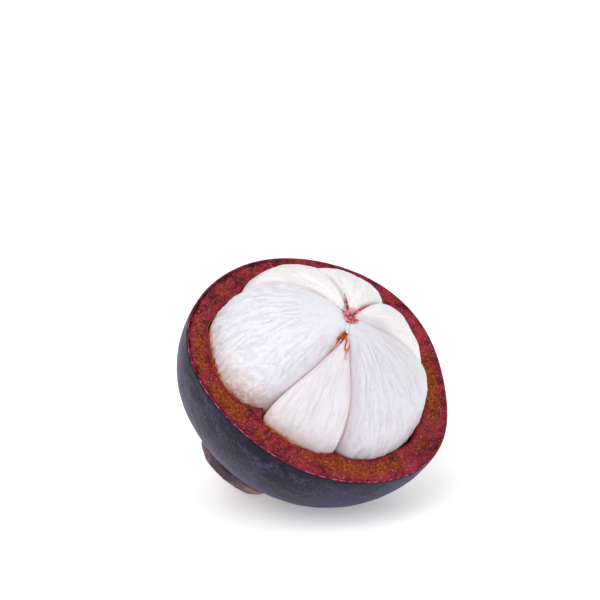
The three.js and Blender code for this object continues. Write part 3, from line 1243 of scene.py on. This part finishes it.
@dataclass(frozen=True)
class CutRelief:
    """How far the cut face lies below the cut, and how far from the skin or the flesh each part of it is."""

    lip: float = 0.18
    lip_width: float = 0.14
    crack: float = 0.50
    crack_at: float = 0.66
    crack_half_width: float = 0.22
    pith: float = 0.26
    pith_from: float = 0.34
    pith_full: float = 0.9
    bowl: float = 0.22
    rough_from: float = 0.5
    rough_full: float = 1.3
    edge: float = 0.40
    edge_width: float = 0.50
    tongue: float = 0.55
    tongue_grains: float = 2.5
    tongue_width: float = 2.6
    tongue_full: float = 0.6


@dataclass
class Rind:
    """The lower half of the rind: skin outside, cut pith on top and the hollow inside.

    Of the rings, skin_share lie on the skin and cut_share on the cut, and those crowd near the skin by the
    power cut_power. The whole outside lies a hair, sunk, under the solid's, so that no bump passes that.
    """

    flesh: Flesh
    cut_radius: float = 31.0
    widest_below_cut: float = 2.2
    base_depth: float = 28.7
    waves: tuple[Wave, ...] = (Wave(2, 0.44, 101), Wave(3, 0.82, 6), Wave(4, 0.19, 27), Wave(5, 0.25, 35))
    columns: int = 480
    rings: int = 200
    skin_share: float = 0.42
    cut_share: float = 0.40
    cut_power: float = 1.3
    sunk: float = 0.08
    rim_round: float = 0.22
    hollow_gap: float = 0.14
    hollow_top: float = -0.85
    hollow_depth: float = 18.5
    full_reach: float = 24.2
    relief: CutRelief = CutRelief()
    dents: Lumps = Lumps(0.20, 11.0, 1.0, 2)
    pimples: Lumps = Lumps(0.06, 2.0, 2.0)
    skin_edge: Lumps = Lumps(0.10, 1.3, 9.0, 2)
    pith_waves: Lumps = Lumps(0.16, 3.5, 7.0, 2)
    pith_grains: Lumps = Lumps(0.20, 0.9, 6.0)
    crack_breaks: Lumps = Lumps(1.0, 3.2, 4.0)
    shrunken: tuple[Patch, ...] = (Patch(236, 5, 0.45), Patch(27, 7, 0.60))
    tongues: tuple[Patch, ...] = (Patch(292, 6), Patch(335, 4, 0.7))
    cracked: tuple[Patch, ...] = (Patch(277, 18), Patch(255, 60, 0.5))
    soaked: tuple[Patch, ...] = (Patch(262, 34), Patch(312, 20))
    browned: tuple[Patch, ...] = (Patch(250, 22, 0.55), Patch(278, 15), Patch(346, 21), Patch(66, 19),
                                  Patch(28, 6, 0.5), Patch(205, 12, 0.3))
    rubbed: tuple[Blot, ...] = (Blot(296, 9, 1.0, -6.5, 3.2), Blot(315, 7, 1.0, -6.5, 3.0),
                                Blot(304, 16, 1.0, -2.0, 2.6), Blot(160, 16, 1.0, -9.0, 5.0),
                                Blot(75, 20, 1.0, -12.0, 6.0))

    @property
    def rim_angle(self) -> float:
        """The angle from the calyx end up to the cut, in degrees."""
        return math.degrees(math.acos(-self.widest_below_cut / self.base_depth))

    def widest(self, bearing: Array) -> Array:
        """Outer radius of the widest level on each bearing."""
        waves = sum(w.height * np.cos(np.radians(w.bulges * (bearing - w.at))) for w in self.waves)
        return (self.cut_radius + waves) / math.sqrt(1 - (self.widest_below_cut / self.base_depth) ** 2)

    def off_skin(self, bearing: Array, angle: Array, distance: Array) -> Array:
        """Points off the rind's outside.

        Args:
            bearing: about the axis, in degrees.
            angle: from the calyx end, in degrees.
            distance: off the skin, in mm.

        Returns:
            The points.
        """
        widest = self.widest(bearing)
        turn = np.radians(angle)
        normal = np.stack([np.sin(turn) / widest, -np.cos(turn) / self.base_depth])
        normal = normal / np.linalg.norm(normal, axis=0)
        z = -self.widest_below_cut - self.base_depth * np.cos(turn) + normal[1] * distance
        return polar(widest * np.sin(turn) + normal[0] * distance, bearing, z)

    def hollow(self, bearing: Array, latitude: Array) -> Array:
        """Points of the hollow, a hair clear of the fullest flesh nearby, and more where that has shrunk.

        Args:
            bearing: about the fruit's axis, in degrees.
            latitude: on the ball of flesh, in radians.

        Returns:
            The points.
        """
        reach = np.maximum.reduce([self.flesh.reach(bearing + aside, latitude) for aside in (-0.4, 0, 0.4)])
        height = self.flesh.half_height * np.minimum(1, reach / self.full_reach)
        loose = self.hollow_gap + strongest(self.shrunken, bearing)
        out = (reach + loose) * np.cos(latitude)
        z = self.flesh.centre_z + (height + self.hollow_gap) * np.sin(latitude)
        return self.flesh.on_axis(polar(out, bearing, z))

    def crack(self, bearing: Array) -> Array:
        """The crack behind the skin, with breaks in it.

        Args:
            bearing: about the fruit's axis, in degrees.

        Returns:
            How open it is, 0 to 1.
        """
        ring = polar(np.full(bearing.shape, self.cut_radius), bearing, np.zeros(bearing.shape))
        wide = strongest(self.cracked, bearing)
        broken = smooth(-0.3, 0.3, self.crack_breaks.over(ring))
        return np.clip(broken * (0.25 + 0.55 * wide) + 0.65 * wide, 0, 1)

    def cut(self, bearing: Array, across: Array) -> tuple[Array, Array, Array]:
        """Points of the cut face.

        Args:
            bearing: about the fruit's axis, in degrees.
            across: how far from the skin to the hollow, 0 to 1.

        Returns:
            The points, and how far each is from the skin and from the hollow, in mm.
        """
        everywhere = np.ones(bearing.shape)
        outer = self.off_skin(bearing, self.rim_angle * everywhere, -self.sunk * everywhere)
        inner = self.hollow(bearing, self.flesh.cut_latitude * everywhere)
        inner[:, 2] = 0
        width = np.linalg.norm(outer - inner, axis=1)
        from_skin = across ** self.cut_power * width
        from_flesh = width - from_skin
        points = outer + (inner - outer) * (from_skin / width)[:, None]
        relief = self.relief
        grains = self.pith_grains.over(points)
        ragged = np.minimum(self.skin_edge.over(points) - self.skin_edge.height, 0)
        lip = ragged - relief.lip * (1 - smooth(0.0, relief.lip_width, from_skin))
        crack = relief.crack * bump_at(relief.crack_at, relief.crack_half_width, from_skin)
        sunk = relief.pith * smooth(relief.pith_from, relief.pith_full, from_skin)
        bowl = relief.bowl * np.sin(np.pi * from_skin / width)
        off_line = smooth(relief.rough_from, relief.rough_full, from_skin)
        rough = (grains + self.pith_waves.over(points)) * off_line
        edge = relief.edge * smooth(relief.edge_width, 0.0, from_flesh)
        low = lip - crack * self.crack(bearing) - sunk - bowl + rough - edge
        beside_flesh = smooth(relief.tongue_width, relief.tongue_full, from_flesh)
        tongue = relief.tongue + relief.tongue_grains * grains
        points[:, 2] = np.minimum(low, 0.0) + tongue * strongest(self.tongues, bearing) * beside_flesh
        return points, from_skin, from_flesh

    def shape(self, around: Array, along: Array) -> tuple[Array, Tags]:
        """The form of the rind: up the skin, in over the cut and down the hollow.

        Args:
            around: how far round the ball each point is, 0 to 1.
            along: how far up from the lower pole it is, 0 to 1.

        Returns:
            The points, and the numbers that the piece keeps for its materials.
        """
        bearing = around * 360
        cut_end = self.skin_share + self.cut_share
        on_skin = along <= self.skin_share + HAIR
        in_hollow = along > cut_end + HAIR
        up = np.clip(along / self.skin_share, 0, 1)
        across = np.clip((along - self.skin_share) / self.cut_share, 0, 1)
        down = np.clip((along - cut_end) / (1 - cut_end), 0, 1)
        angle = up * self.rim_angle
        base = self.off_skin(bearing, angle, np.zeros(bearing.shape))
        dents = (self.dents.over(base) + self.pimples.over(base) - 0.10) * smooth(1.0, 0.95, up)
        outside = self.off_skin(bearing, angle, np.minimum(dents, 0) - self.sunk)
        outside[:, 2] -= self.rim_round * smooth(0.985, 1.0, up)
        face, from_skin, from_flesh = self.cut(bearing, across)
        level = self.flesh.cut_latitude
        inside = self.hollow(bearing, level - (math.radians(90) + level) * down)
        inside[:, 2] = np.minimum(inside[:, 2], self.hollow_top)
        inside[down >= 1] = self.flesh.on_axis(np.array([[0, 0, self.flesh.centre_z - self.hollow_depth]]))
        points = np.where(on_skin[:, None], outside, np.where(in_hollow[:, None], inside, face))
        return points, {
            "pith": 1.0 * (along >= self.skin_share - HAIR),
            "from_skin": from_skin,
            "from_flesh": np.where(in_hollow, -10 * down, from_flesh),
            "below_rim": -outside[:, 2],
            "amber": strongest(self.soaked, bearing),
            "tan": strongest(self.browned, bearing),
            "crack": self.crack(bearing),
            "rubbed": strongest(self.rubbed, bearing, outside[:, 2]),
        }

    def build(self, finishes: dict[str, Finish]) -> None:
        """Builds the rind, and gives the skin and the pith their own finishes.

        Args:
            finishes: every finish by name.
        """
        piece = shaped_ball("rind_half", self.columns, self.rings, self.shape)
        piece.data.materials.append(finishes["skin"].material)
        piece.data.materials.append(finishes["pith"].material)
        pith = np.empty(len(piece.data.vertices), dtype=np.float32)
        piece.data.attributes["pith"].data.foreach_get("value", pith)
        starts = np.empty(len(piece.data.polygons), dtype=np.int64)
        piece.data.polygons.foreach_get("loop_start", starts)
        all_pith = np.minimum.reduceat(pith[corner_points(piece)], starts).astype(np.int32)
        piece.data.polygons.foreach_set("material_index", all_pith)
        hand_over(piece, "rind", "rind")


# ---------------------------------------------------------------------------------------------------------
# Calyx and stem

@dataclass(frozen=True)
class Sepal:
    """One sepal: a thick, domed leaf that starts narrow at the stem, widens and ends round."""

    name: str
    at: float
    tip: float
    width: float
    rise: float
    lift: float
    thick: float


@dataclass
class Calyx:
    """The four sepals under the rind."""

    rind: Rind
    sepals: tuple[Sepal, ...] = (
        Sepal("sepal_1", -71, 40, 26, 1.3, 1.8, 1.7),
        Sepal("sepal_2", 24, 31, 20, 0.0, 0.0, 1.2),
        Sepal("sepal_3", 112, 39, 23, 2.6, 1.6, 2.0),
        Sepal("sepal_4", 199, 38, 23, 2.2, 0.9, 2.0),
    )
    start: float = 10.0
    spread: float = 41.0
    clearance: float = 0.18
    crumples: tuple[float, float] = (0.26, 4.5)
    wrinkles: tuple[float, float] = (0.12, 1.3)
    columns: int = 120
    rings: int = 90

    def shape(self, sepal: Sepal, seed: int, around: Array, along: Array) -> tuple[Array, Tags]:
        """The form of a sepal: round its outer face and back along its inner one, section by section.

        Args:
            sepal: the sepal.
            seed: sets its crumples.
            around: how far round the ball each point is, 0 to 1.
            along: how far from the stem to the tip it is, 0 to 1.

        Returns:
            The points, and the numbers that the piece keeps for its material.
        """
        t = np.clip(along, 0.004, 0.996)
        angle = self.start + (sepal.tip - self.start) * t
        radius = self.rind.widest(np.full(t.shape, sepal.at)) * np.sin(np.radians(angle))
        round_tip = np.sqrt(1 - np.clip((t - 0.4) / 0.6, 0, 1) ** 2.4)
        half = np.minimum(sepal.width / 2, radius * math.radians(self.spread)) * round_tip
        section = 2 * math.pi * around
        side = np.cos(section)
        outer = np.sin(section)
        dome = np.sin(np.pi * t ** 0.8)
        edge = sepal.lift * (0.35 + 0.65 * t) + sepal.thick * (0.55 + 0.45 * dome)
        thick = edge + sepal.rise * dome * (1 - side ** 2)
        where = columns_of(side * half, angle * 0.5, np.full(t.shape, seed * 9.0))
        crumple = Lumps(*self.crumples, seed).over(where) + Lumps(*self.wrinkles, seed + 5).over(where) - 0.16
        through = np.where(outer > 0, np.sqrt(1 - 0.98 * side ** 4), 0.0)
        face = self.clearance + thick * through + crumple * np.maximum(outer, 0)
        bearing = sepal.at + np.degrees(side * half / radius)
        worn = smooth(0.74, 1.0, side) * smooth(0.35, 0.60, t) * smooth(0.98, 0.90, t)
        margin = np.maximum(smooth(0.93, 0.99, np.abs(side)), smooth(0.96, 0.99, t))
        tags = {"edge": worn, "margin": margin * (outer > -0.05), "young": smooth(0.75, 0.05, t)}
        return self.rind.off_skin(bearing, angle, face), tags

    def build(self, finishes: dict[str, Finish]) -> None:
        """Builds and dresses the sepals.

        Args:
            finishes: every finish by name.
        """
        for seed, sepal in enumerate(self.sepals):
            piece = shaped_ball(f"calyx_{sepal.name}", self.columns, self.rings,
                                partial(self.shape, sepal, seed))
            piece.data.materials.append(finishes["sepal"].material)
            hand_over(piece, "sepal", sepal.name)


@dataclass
class Stem:
    """The stub of the stem: it swings up from the calyx and ends in a rough break."""

    rind: Rind
    length: float = 8.4
    bend: float = 36.0
    radii: tuple[float, ...] = (4.7, 4.25, 4.0, 4.05, 4.3, 4.15)
    root_gap: float = 0.3
    root_share: float = 0.12
    bark_share: float = 0.68
    bark: Lumps = Lumps(0.16, 1.4, 3.0)
    break_lumps: Lumps = Lumps(0.45, 1.5, 8.0)
    break_hollow: float = 0.3
    corners: float = 0.03
    grooves: float = 0.018
    columns: int = 96
    rings: int = 80

    def shape(self, around: Array, along: Array) -> tuple[Array, Tags]:
        """The form of the stem: its root disc, its bark and its broken end.

        Args:
            around: how far round the ball each point is, 0 to 1.
            along: how far from the root to the end it is, 0 to 1.

        Returns:
            The points, and the numbers that the piece keeps for its material.
        """
        root = self.rind.off_skin(np.zeros(1), np.zeros(1), np.array([self.root_gap]))[0]
        bend = math.radians(self.bend)
        tip = root + self.length * np.array([-math.sin(bend), 0, -math.cos(bend)])
        knee = root + np.array([0, 0, -self.length / 2])
        bark_end = self.root_share + self.bark_share
        t = np.clip((along - self.root_share) / self.bark_share, 0, 1)[:, None]
        line = root * (1 - t) ** 2 + knee * 2 * t * (1 - t) + tip * t ** 2
        towards = 2 * (knee - root) * (1 - t) + 2 * (tip - knee) * t
        towards = towards / np.linalg.norm(towards, axis=1, keepdims=True)
        side = np.array([0.0, 1.0, 0.0])
        other = np.cross(side, towards)
        turn = 2 * math.pi * around
        radius = np.interp(t[:, 0], np.linspace(0, 1, len(self.radii)), self.radii)
        radius = radius * (1 + self.corners * np.cos(4 * turn) + self.grooves * np.cos(11 * turn + 1))
        at_end = np.where(along > bark_end, (1 - along) / (1 - bark_end), 1.0)
        cap = np.where(along < self.root_share, along / self.root_share, at_end)
        out = np.cos(turn)[:, None] * side - np.sin(turn)[:, None] * other
        disc = np.clip(cap, 0, 1)
        points = line + out * (radius * disc)[:, None]
        bark = self.bark.over(points) * (cap >= 1)
        broken = self.break_lumps.over(points) - self.break_hollow * (1 - disc)
        broken = np.minimum(smooth(bark_end, bark_end + 0.06, along) * broken, 0.0)
        points = points + out * bark[:, None] + towards * broken[:, None]
        return points, {"broken": smooth(bark_end - 0.04, bark_end + 0.04, along)}

    def build(self, finishes: dict[str, Finish]) -> None:
        """Builds and dresses the stem.

        Args:
            finishes: every finish by name.
        """
        piece = shaped_ball("stem_stub", self.columns, self.rings, self.shape)
        piece.data.materials.append(finishes["stem"].material)
        hand_over(piece, "stem", "stem")


# ---------------------------------------------------------------------------------------------------------
# Fibres

class Tint(Enum):
    """The colours of the fibres."""

    PINK = 0
    CRIMSON = 1
    DARK = 2
    AMBER = 3
    PALE = 4


@dataclass(frozen=True)
class Strand:
    """One strand: places it passes, as bearings and radii about the flesh's axis, and its width in mm."""

    tint: Tint
    width: float
    places: tuple[tuple[float, float], ...]


@dataclass
class Fibres:
    """Red fibres that the torn-off rind left where the segments meet.

    Over the small hole between the segments' tips they run at hub_height.
    """

    flesh: Flesh
    strands: tuple[Strand, ...] = (
        Strand(Tint.PINK, 0.26, ((158, 7.2), (159, 6.2), (158, 5.0), (156, 3.6), (150, 2.2))),
        Strand(Tint.PINK, 0.20, ((160, 5.8), (161, 5.0), (159, 4.2), (153, 3.2))),
        Strand(Tint.DARK, 0.42, ((159, 3.8), (157, 3.3), (155, 2.7))),
        Strand(Tint.DARK, 0.30, ((159, 5.0), (158, 4.4), (158, 4.0))),
        Strand(Tint.CRIMSON, 0.36, ((113, 8.2), (113, 7.0), (114, 5.6), (116, 4.2), (122, 2.6), (140, 1.6))),
        Strand(Tint.PINK, 0.26, ((116, 5.6), (113, 4.2), (118, 3.0), (130, 1.8))),
        Strand(Tint.CRIMSON, 0.24, ((198, 3.9), (197, 3.3), (196, 2.6))),
        Strand(Tint.DARK, 0.56, ((197, 2.9), (197, 2.1), (203, 1.5))),
        Strand(Tint.CRIMSON, 0.36, ((292, 1.6), (200, 0.5), (150, 1.4), (140, 2.2))),
        Strand(Tint.CRIMSON, 0.36, ((124, 2.1), (88, 1.4), (44, 1.8))),
        Strand(Tint.DARK, 0.58, ((314, 4.9), (315, 5.6), (315, 6.6), (315, 7.4))),
        Strand(Tint.CRIMSON, 0.32, ((315, 6.8), (315, 7.7), (313, 8.5))),
        Strand(Tint.PINK, 0.22, ((314, 8.0), (312, 9.0), (310, 10.0), (308, 11.0))),
        Strand(Tint.AMBER, 0.50, ((310, 5.0), (311, 6.0), (310, 7.0))),
        Strand(Tint.AMBER, 0.34, ((307, 6.6), (309, 7.2), (310, 7.9))),
        Strand(Tint.DARK, 0.34, ((320, 5.3), (320, 5.7), (320, 6.1))),
        Strand(Tint.AMBER, 0.38, ((320, 6.0), (321, 6.8), (323, 7.6))),
        Strand(Tint.CRIMSON, 0.28, ((323, 7.5), (322, 8.2), (322, 8.9))),
        Strand(Tint.AMBER, 0.44, ((322, 9.0), (325, 9.2), (328, 9.1))),
        Strand(Tint.PINK, 0.24, ((327, 6.4), (331, 7.2), (330, 8.2), (327, 9.0))),
        Strand(Tint.PINK, 0.24, ((325, 9.2), (326, 10.0), (327, 11.2))),
        Strand(Tint.PALE, 0.50, ((319, 1.6), (319, 2.8), (319, 4.2), (318, 5.4))),
        Strand(Tint.PALE, 0.34, ((312, 2.2), (317, 3.4), (321, 4.8))),
    )
    hub_strands: int = 34
    hub_radius: float = 1.9
    tube_radius: float = 0.6
    above: float = 60.0
    hub_height: float = 15.0
    thin_end: float = 0.35
    wander: float = 0.10

    def height(self, ground: BVHTree, x: float, y: float, width: float) -> float:
        """The flesh's height under a strand.

        Args:
            ground: the flesh's surface.
            x: the place in the fruit's frame, in mm.
            y: the same.
            width: how far to its sides the strand rests on the flesh.

        Returns:
            The greatest height under it, in mm.
        """
        found = []
        for dx, dy in ((0, 0), (width, 0), (-width, 0), (0, width), (0, -width)):
            hit = ground.ray_cast(Vector((x + dx, y + dy, self.above)), Vector((0, 0, -1)))[0]
            found.append(hit.z if hit else self.hub_height)
        return max(found)

    def hub(self) -> list[Strand]:
        """Short tangled strands round the middle.

        Returns:
            The strands, the same ones in each run.
        """
        draw = random.Random(7)
        made = []
        for i in range(self.hub_strands):
            turn = draw.uniform(0, 360)
            steps = [(turn + draw.uniform(-45, 45) * j, draw.uniform(0.4, self.hub_radius)) for j in range(4)]
            tint = Tint.CRIMSON if i % 5 == 0 else Tint.PINK
            made.append(Strand(tint, draw.uniform(0.20, 0.38), tuple(steps)))
        return made

    def build(self, finishes: dict[str, Finish]) -> None:
        """Lays every strand on the flesh as a tapering tube, and dresses the lot.

        Args:
            finishes: every finish by name.
        """
        ground = self.flesh.surface()
        curve = bpy.data.curves.new("fibre_strands", "CURVE")
        curve.dimensions = "3D"
        curve.bevel_depth = self.tube_radius * MM
        curve.bevel_resolution = 2
        curve.use_fill_caps = True
        for tint in Tint:
            curve.materials.append(finishes[f"{tint.name.lower()} fibre"].material)
        draw = random.Random(3)
        for strand in (*self.hub(), *self.strands):
            self.lay(curve, strand, ground, draw)
        tangle = bpy.data.objects.new("fibre_strands", curve)
        bpy.context.collection.objects.link(tangle)
        bpy.ops.object.select_all(action="DESELECT")
        tangle.select_set(True)
        bpy.context.view_layer.objects.active = tangle
        bpy.ops.object.convert(target="MESH")
        piece = bpy.context.active_object
        bpy.ops.object.shade_smooth()
        hand_over(piece, "fibre", "fibres")

    def lay(self, curve: bpy.types.Curve, strand: Strand, ground: BVHTree, draw: random.Random) -> None:
        """Adds one strand to the curve, resting on the flesh.

        Args:
            curve: the curve of all strands.
            strand: the strand.
            ground: the flesh's surface.
            draw: gives the strand its small jogs.
        """
        spline = curve.splines.new("NURBS")
        spline.points.add(len(strand.places) * 2 - 2)
        spline.use_endpoint_u = True
        spline.order_u = 3
        spline.resolution_u = 4
        spline.material_index = strand.tint.value
        flat = [polar(np.array([r]), np.array([b]), np.zeros(1))[0] for b, r in strand.places]
        steps = []
        for first, second in zip(flat, flat[1:]):
            jog = [draw.uniform(-self.wander, self.wander) for _ in "xy"]
            steps += [first, (first + second) / 2 + np.array([*jog, 0])]
        steps.append(flat[-1])
        for i, (point, place) in enumerate(zip(spline.points, steps)):
            x, y = place[0] + self.flesh.axis[0], place[1] + self.flesh.axis[1]
            share = i / (len(steps) - 1)
            swell = math.sin(math.pi * (0.2 + 0.6 * share))
            thick = strand.width * (self.thin_end + (1 - self.thin_end) * swell)
            z = self.height(ground, x, y, self.wander) + 0.2 * thick + draw.uniform(0.0, self.wander)
            spot = LIE.placed(np.array([[x, y, z]]))[0]
            point.co = (*spot, 1.0)
            point.radius = thick


# ---------------------------------------------------------------------------------------------------------
# Picture

def hand_over(piece: bpy.types.Object, slot: str, *nodes: str) -> None:
    """Attaches a finished piece to the body, and hides the CAD nodes that it stands for.

    Args:
        piece: the finished piece.
        slot: not used.
        nodes: the CAD nodes that it stands for.
    """
    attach(piece, BODY)
    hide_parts(*nodes)
    log.info("%s: %d faces", piece.name, len(piece.data.polygons))


@dataclass
class Studio:
    """The table, the lights and the camera, in millimetres, but for the table's width in metres.

    The cut's centre falls cut_falls[0] to the right of the picture's middle and cut_falls[1] over it.
    """

    camera_height_angle: float = 13.0
    distance: float = 400.0
    focal_px: float = 1826.0
    frame_px: float = 600.0
    cut_falls: tuple[float, float] = (5.31, -14.0)
    sensor: float = 36.0
    table_width: float = 6.0
    sky: float = 0.72

    def table(self, finishes: dict[str, Finish]) -> None:
        """A plain pale floor that reaches past the picture.

        Args:
            finishes: every finish by name.
        """
        bpy.ops.object.select_all(action="DESELECT")
        bpy.ops.mesh.primitive_plane_add(size=self.table_width, location=(0, 0, 0))
        floor = bpy.context.active_object
        floor.name = "table_top"
        floor.data.materials.append(finishes["table"].material)

    def camera(self) -> None:
        """The camera, so placed that the cut's centre falls where it should in the picture."""
        tilt = math.radians(self.camera_height_angle)
        right = Vector((1, 0, 0))
        up = Vector((0, math.sin(tilt), math.cos(tilt)))
        back = Vector((0, -math.cos(tilt), math.sin(tilt)))
        data = bpy.data.cameras.new("studio_camera")
        data.sensor_width = self.sensor
        data.lens = self.sensor * self.focal_px / self.frame_px
        data.clip_start = 0.01
        camera = bpy.data.objects.new("studio_camera", data)
        aside, over = self.cut_falls
        place = Vector(LIE.cut_centre) - aside * right - over * up + self.distance * back
        turn = Matrix((right, up, back)).transposed().to_4x4()
        camera.matrix_world = Matrix.Translation(place * MM) @ turn
        bpy.context.collection.objects.link(camera)
        bpy.context.scene.camera = camera

    def light(self, name: str, height: float, turn: float, wide: float, strength: float) -> None:
        """A far, broad lamp, like a softbox that fills part of the sky.

        Args:
            name: the lamp's name.
            height: its height over the table as an angle, in degrees.
            turn: the side it stands on, in degrees from +X towards +Y.
            wide: how wide it looks from the fruit, in degrees.
            strength: its light, in W/m2.
        """
        data = bpy.data.lights.new(name, "SUN")
        data.angle = math.radians(wide)
        data.energy = strength
        lamp = bpy.data.objects.new(name, data)
        up, aside = math.radians(height), math.radians(turn)
        towards = Vector((math.cos(up) * math.cos(aside), math.cos(up) * math.sin(aside), math.sin(up)))
        lamp.rotation_euler = towards.to_track_quat("Z", "Y").to_euler()
        bpy.context.collection.objects.link(lamp)

    def build(self, finishes: dict[str, Finish]) -> None:
        """Sets up the whole studio.

        Args:
            finishes: every finish by name.
        """
        self.table(finishes)
        self.camera()
        self.light("key_softbox", height=52, turn=235, wide=55, strength=1.05)
        self.light("fill_softbox", height=45, turn=-35, wide=60, strength=0.34)
        world = bpy.data.worlds.new("studio_world")
        world.use_nodes = True
        background = world.node_tree.nodes["Background"]
        feed(world.node_tree, background, {"Color": "#ffffff", "Strength": self.sky})
        bpy.context.scene.world = world
        bpy.context.scene.view_settings.view_transform = "Standard"


def make_finishes() -> dict[str, Finish]:
    """Every finish.

    Returns:
        The finishes, by the names that the pieces ask for.
    """
    return {
        "skin": SkinFinish("mangosteen_skin"),
        "pith": PithFinish("cut_mangosteen_pith"),
        "flesh": FleshFinish("moist_white_flesh"),
        # The ribbed and streaked segments face the floor; their whites are a little darker, partly as painted
        # shade against its bounce light.
        "ribbed flesh": FleshFinish("moist_ribbed_flesh", white="#dddbe1", groove_shade_and_mottle="#c5c3cb"),
        "streaked flesh": FleshFinish("moist_streaked_flesh", white="#e0dde2", thread="#cfc0b8",
                                      threads=0.42),
        "cream flesh": FleshFinish("moist_cream_flesh", white="#efedee", groove_shade_and_mottle="#dcd5d4", thread="#e5dddb"),
        "sepal": SepalFinish("dried_sepal"),
        "stem": StemFinish("green_twig_bark"),
        "pink fibre": FibreFinish("pink_pith_fibre"),
        "crimson fibre": FibreFinish("crimson_pith_fibre", dark="#b01838", light="#d0506a"),
        "dark fibre": FibreFinish("dark_pith_fibre", dark="#78060a", light="#a8141c"),
        "pale fibre": FibreFinish("pale_membrane_fibre", dark="#e2e0e6", light="#eeecf0"),
        "amber fibre": FibreFinish("amber_pith_fibre", dark="#b4481c", light="#e59a35"),
        "table": TableFinish("frosted_white_acrylic"),
    }


def main() -> None:
    """Builds the pieces in order."""
    logging.basicConfig(level=logging.INFO, format="%(message)s")
    finishes = make_finishes()
    Studio().build(finishes)
    flesh = Flesh()
    flesh.build(finishes)
    rind = Rind(flesh)
    rind.build(finishes)
    Calyx(rind).build(finishes)
    Stem(rind).build(finishes)
    Fibres(flesh).build(finishes)
    while BALLS:
        bpy.data.meshes.remove(BALLS.popitem()[1])


if __name__ == "__main__":
    main()
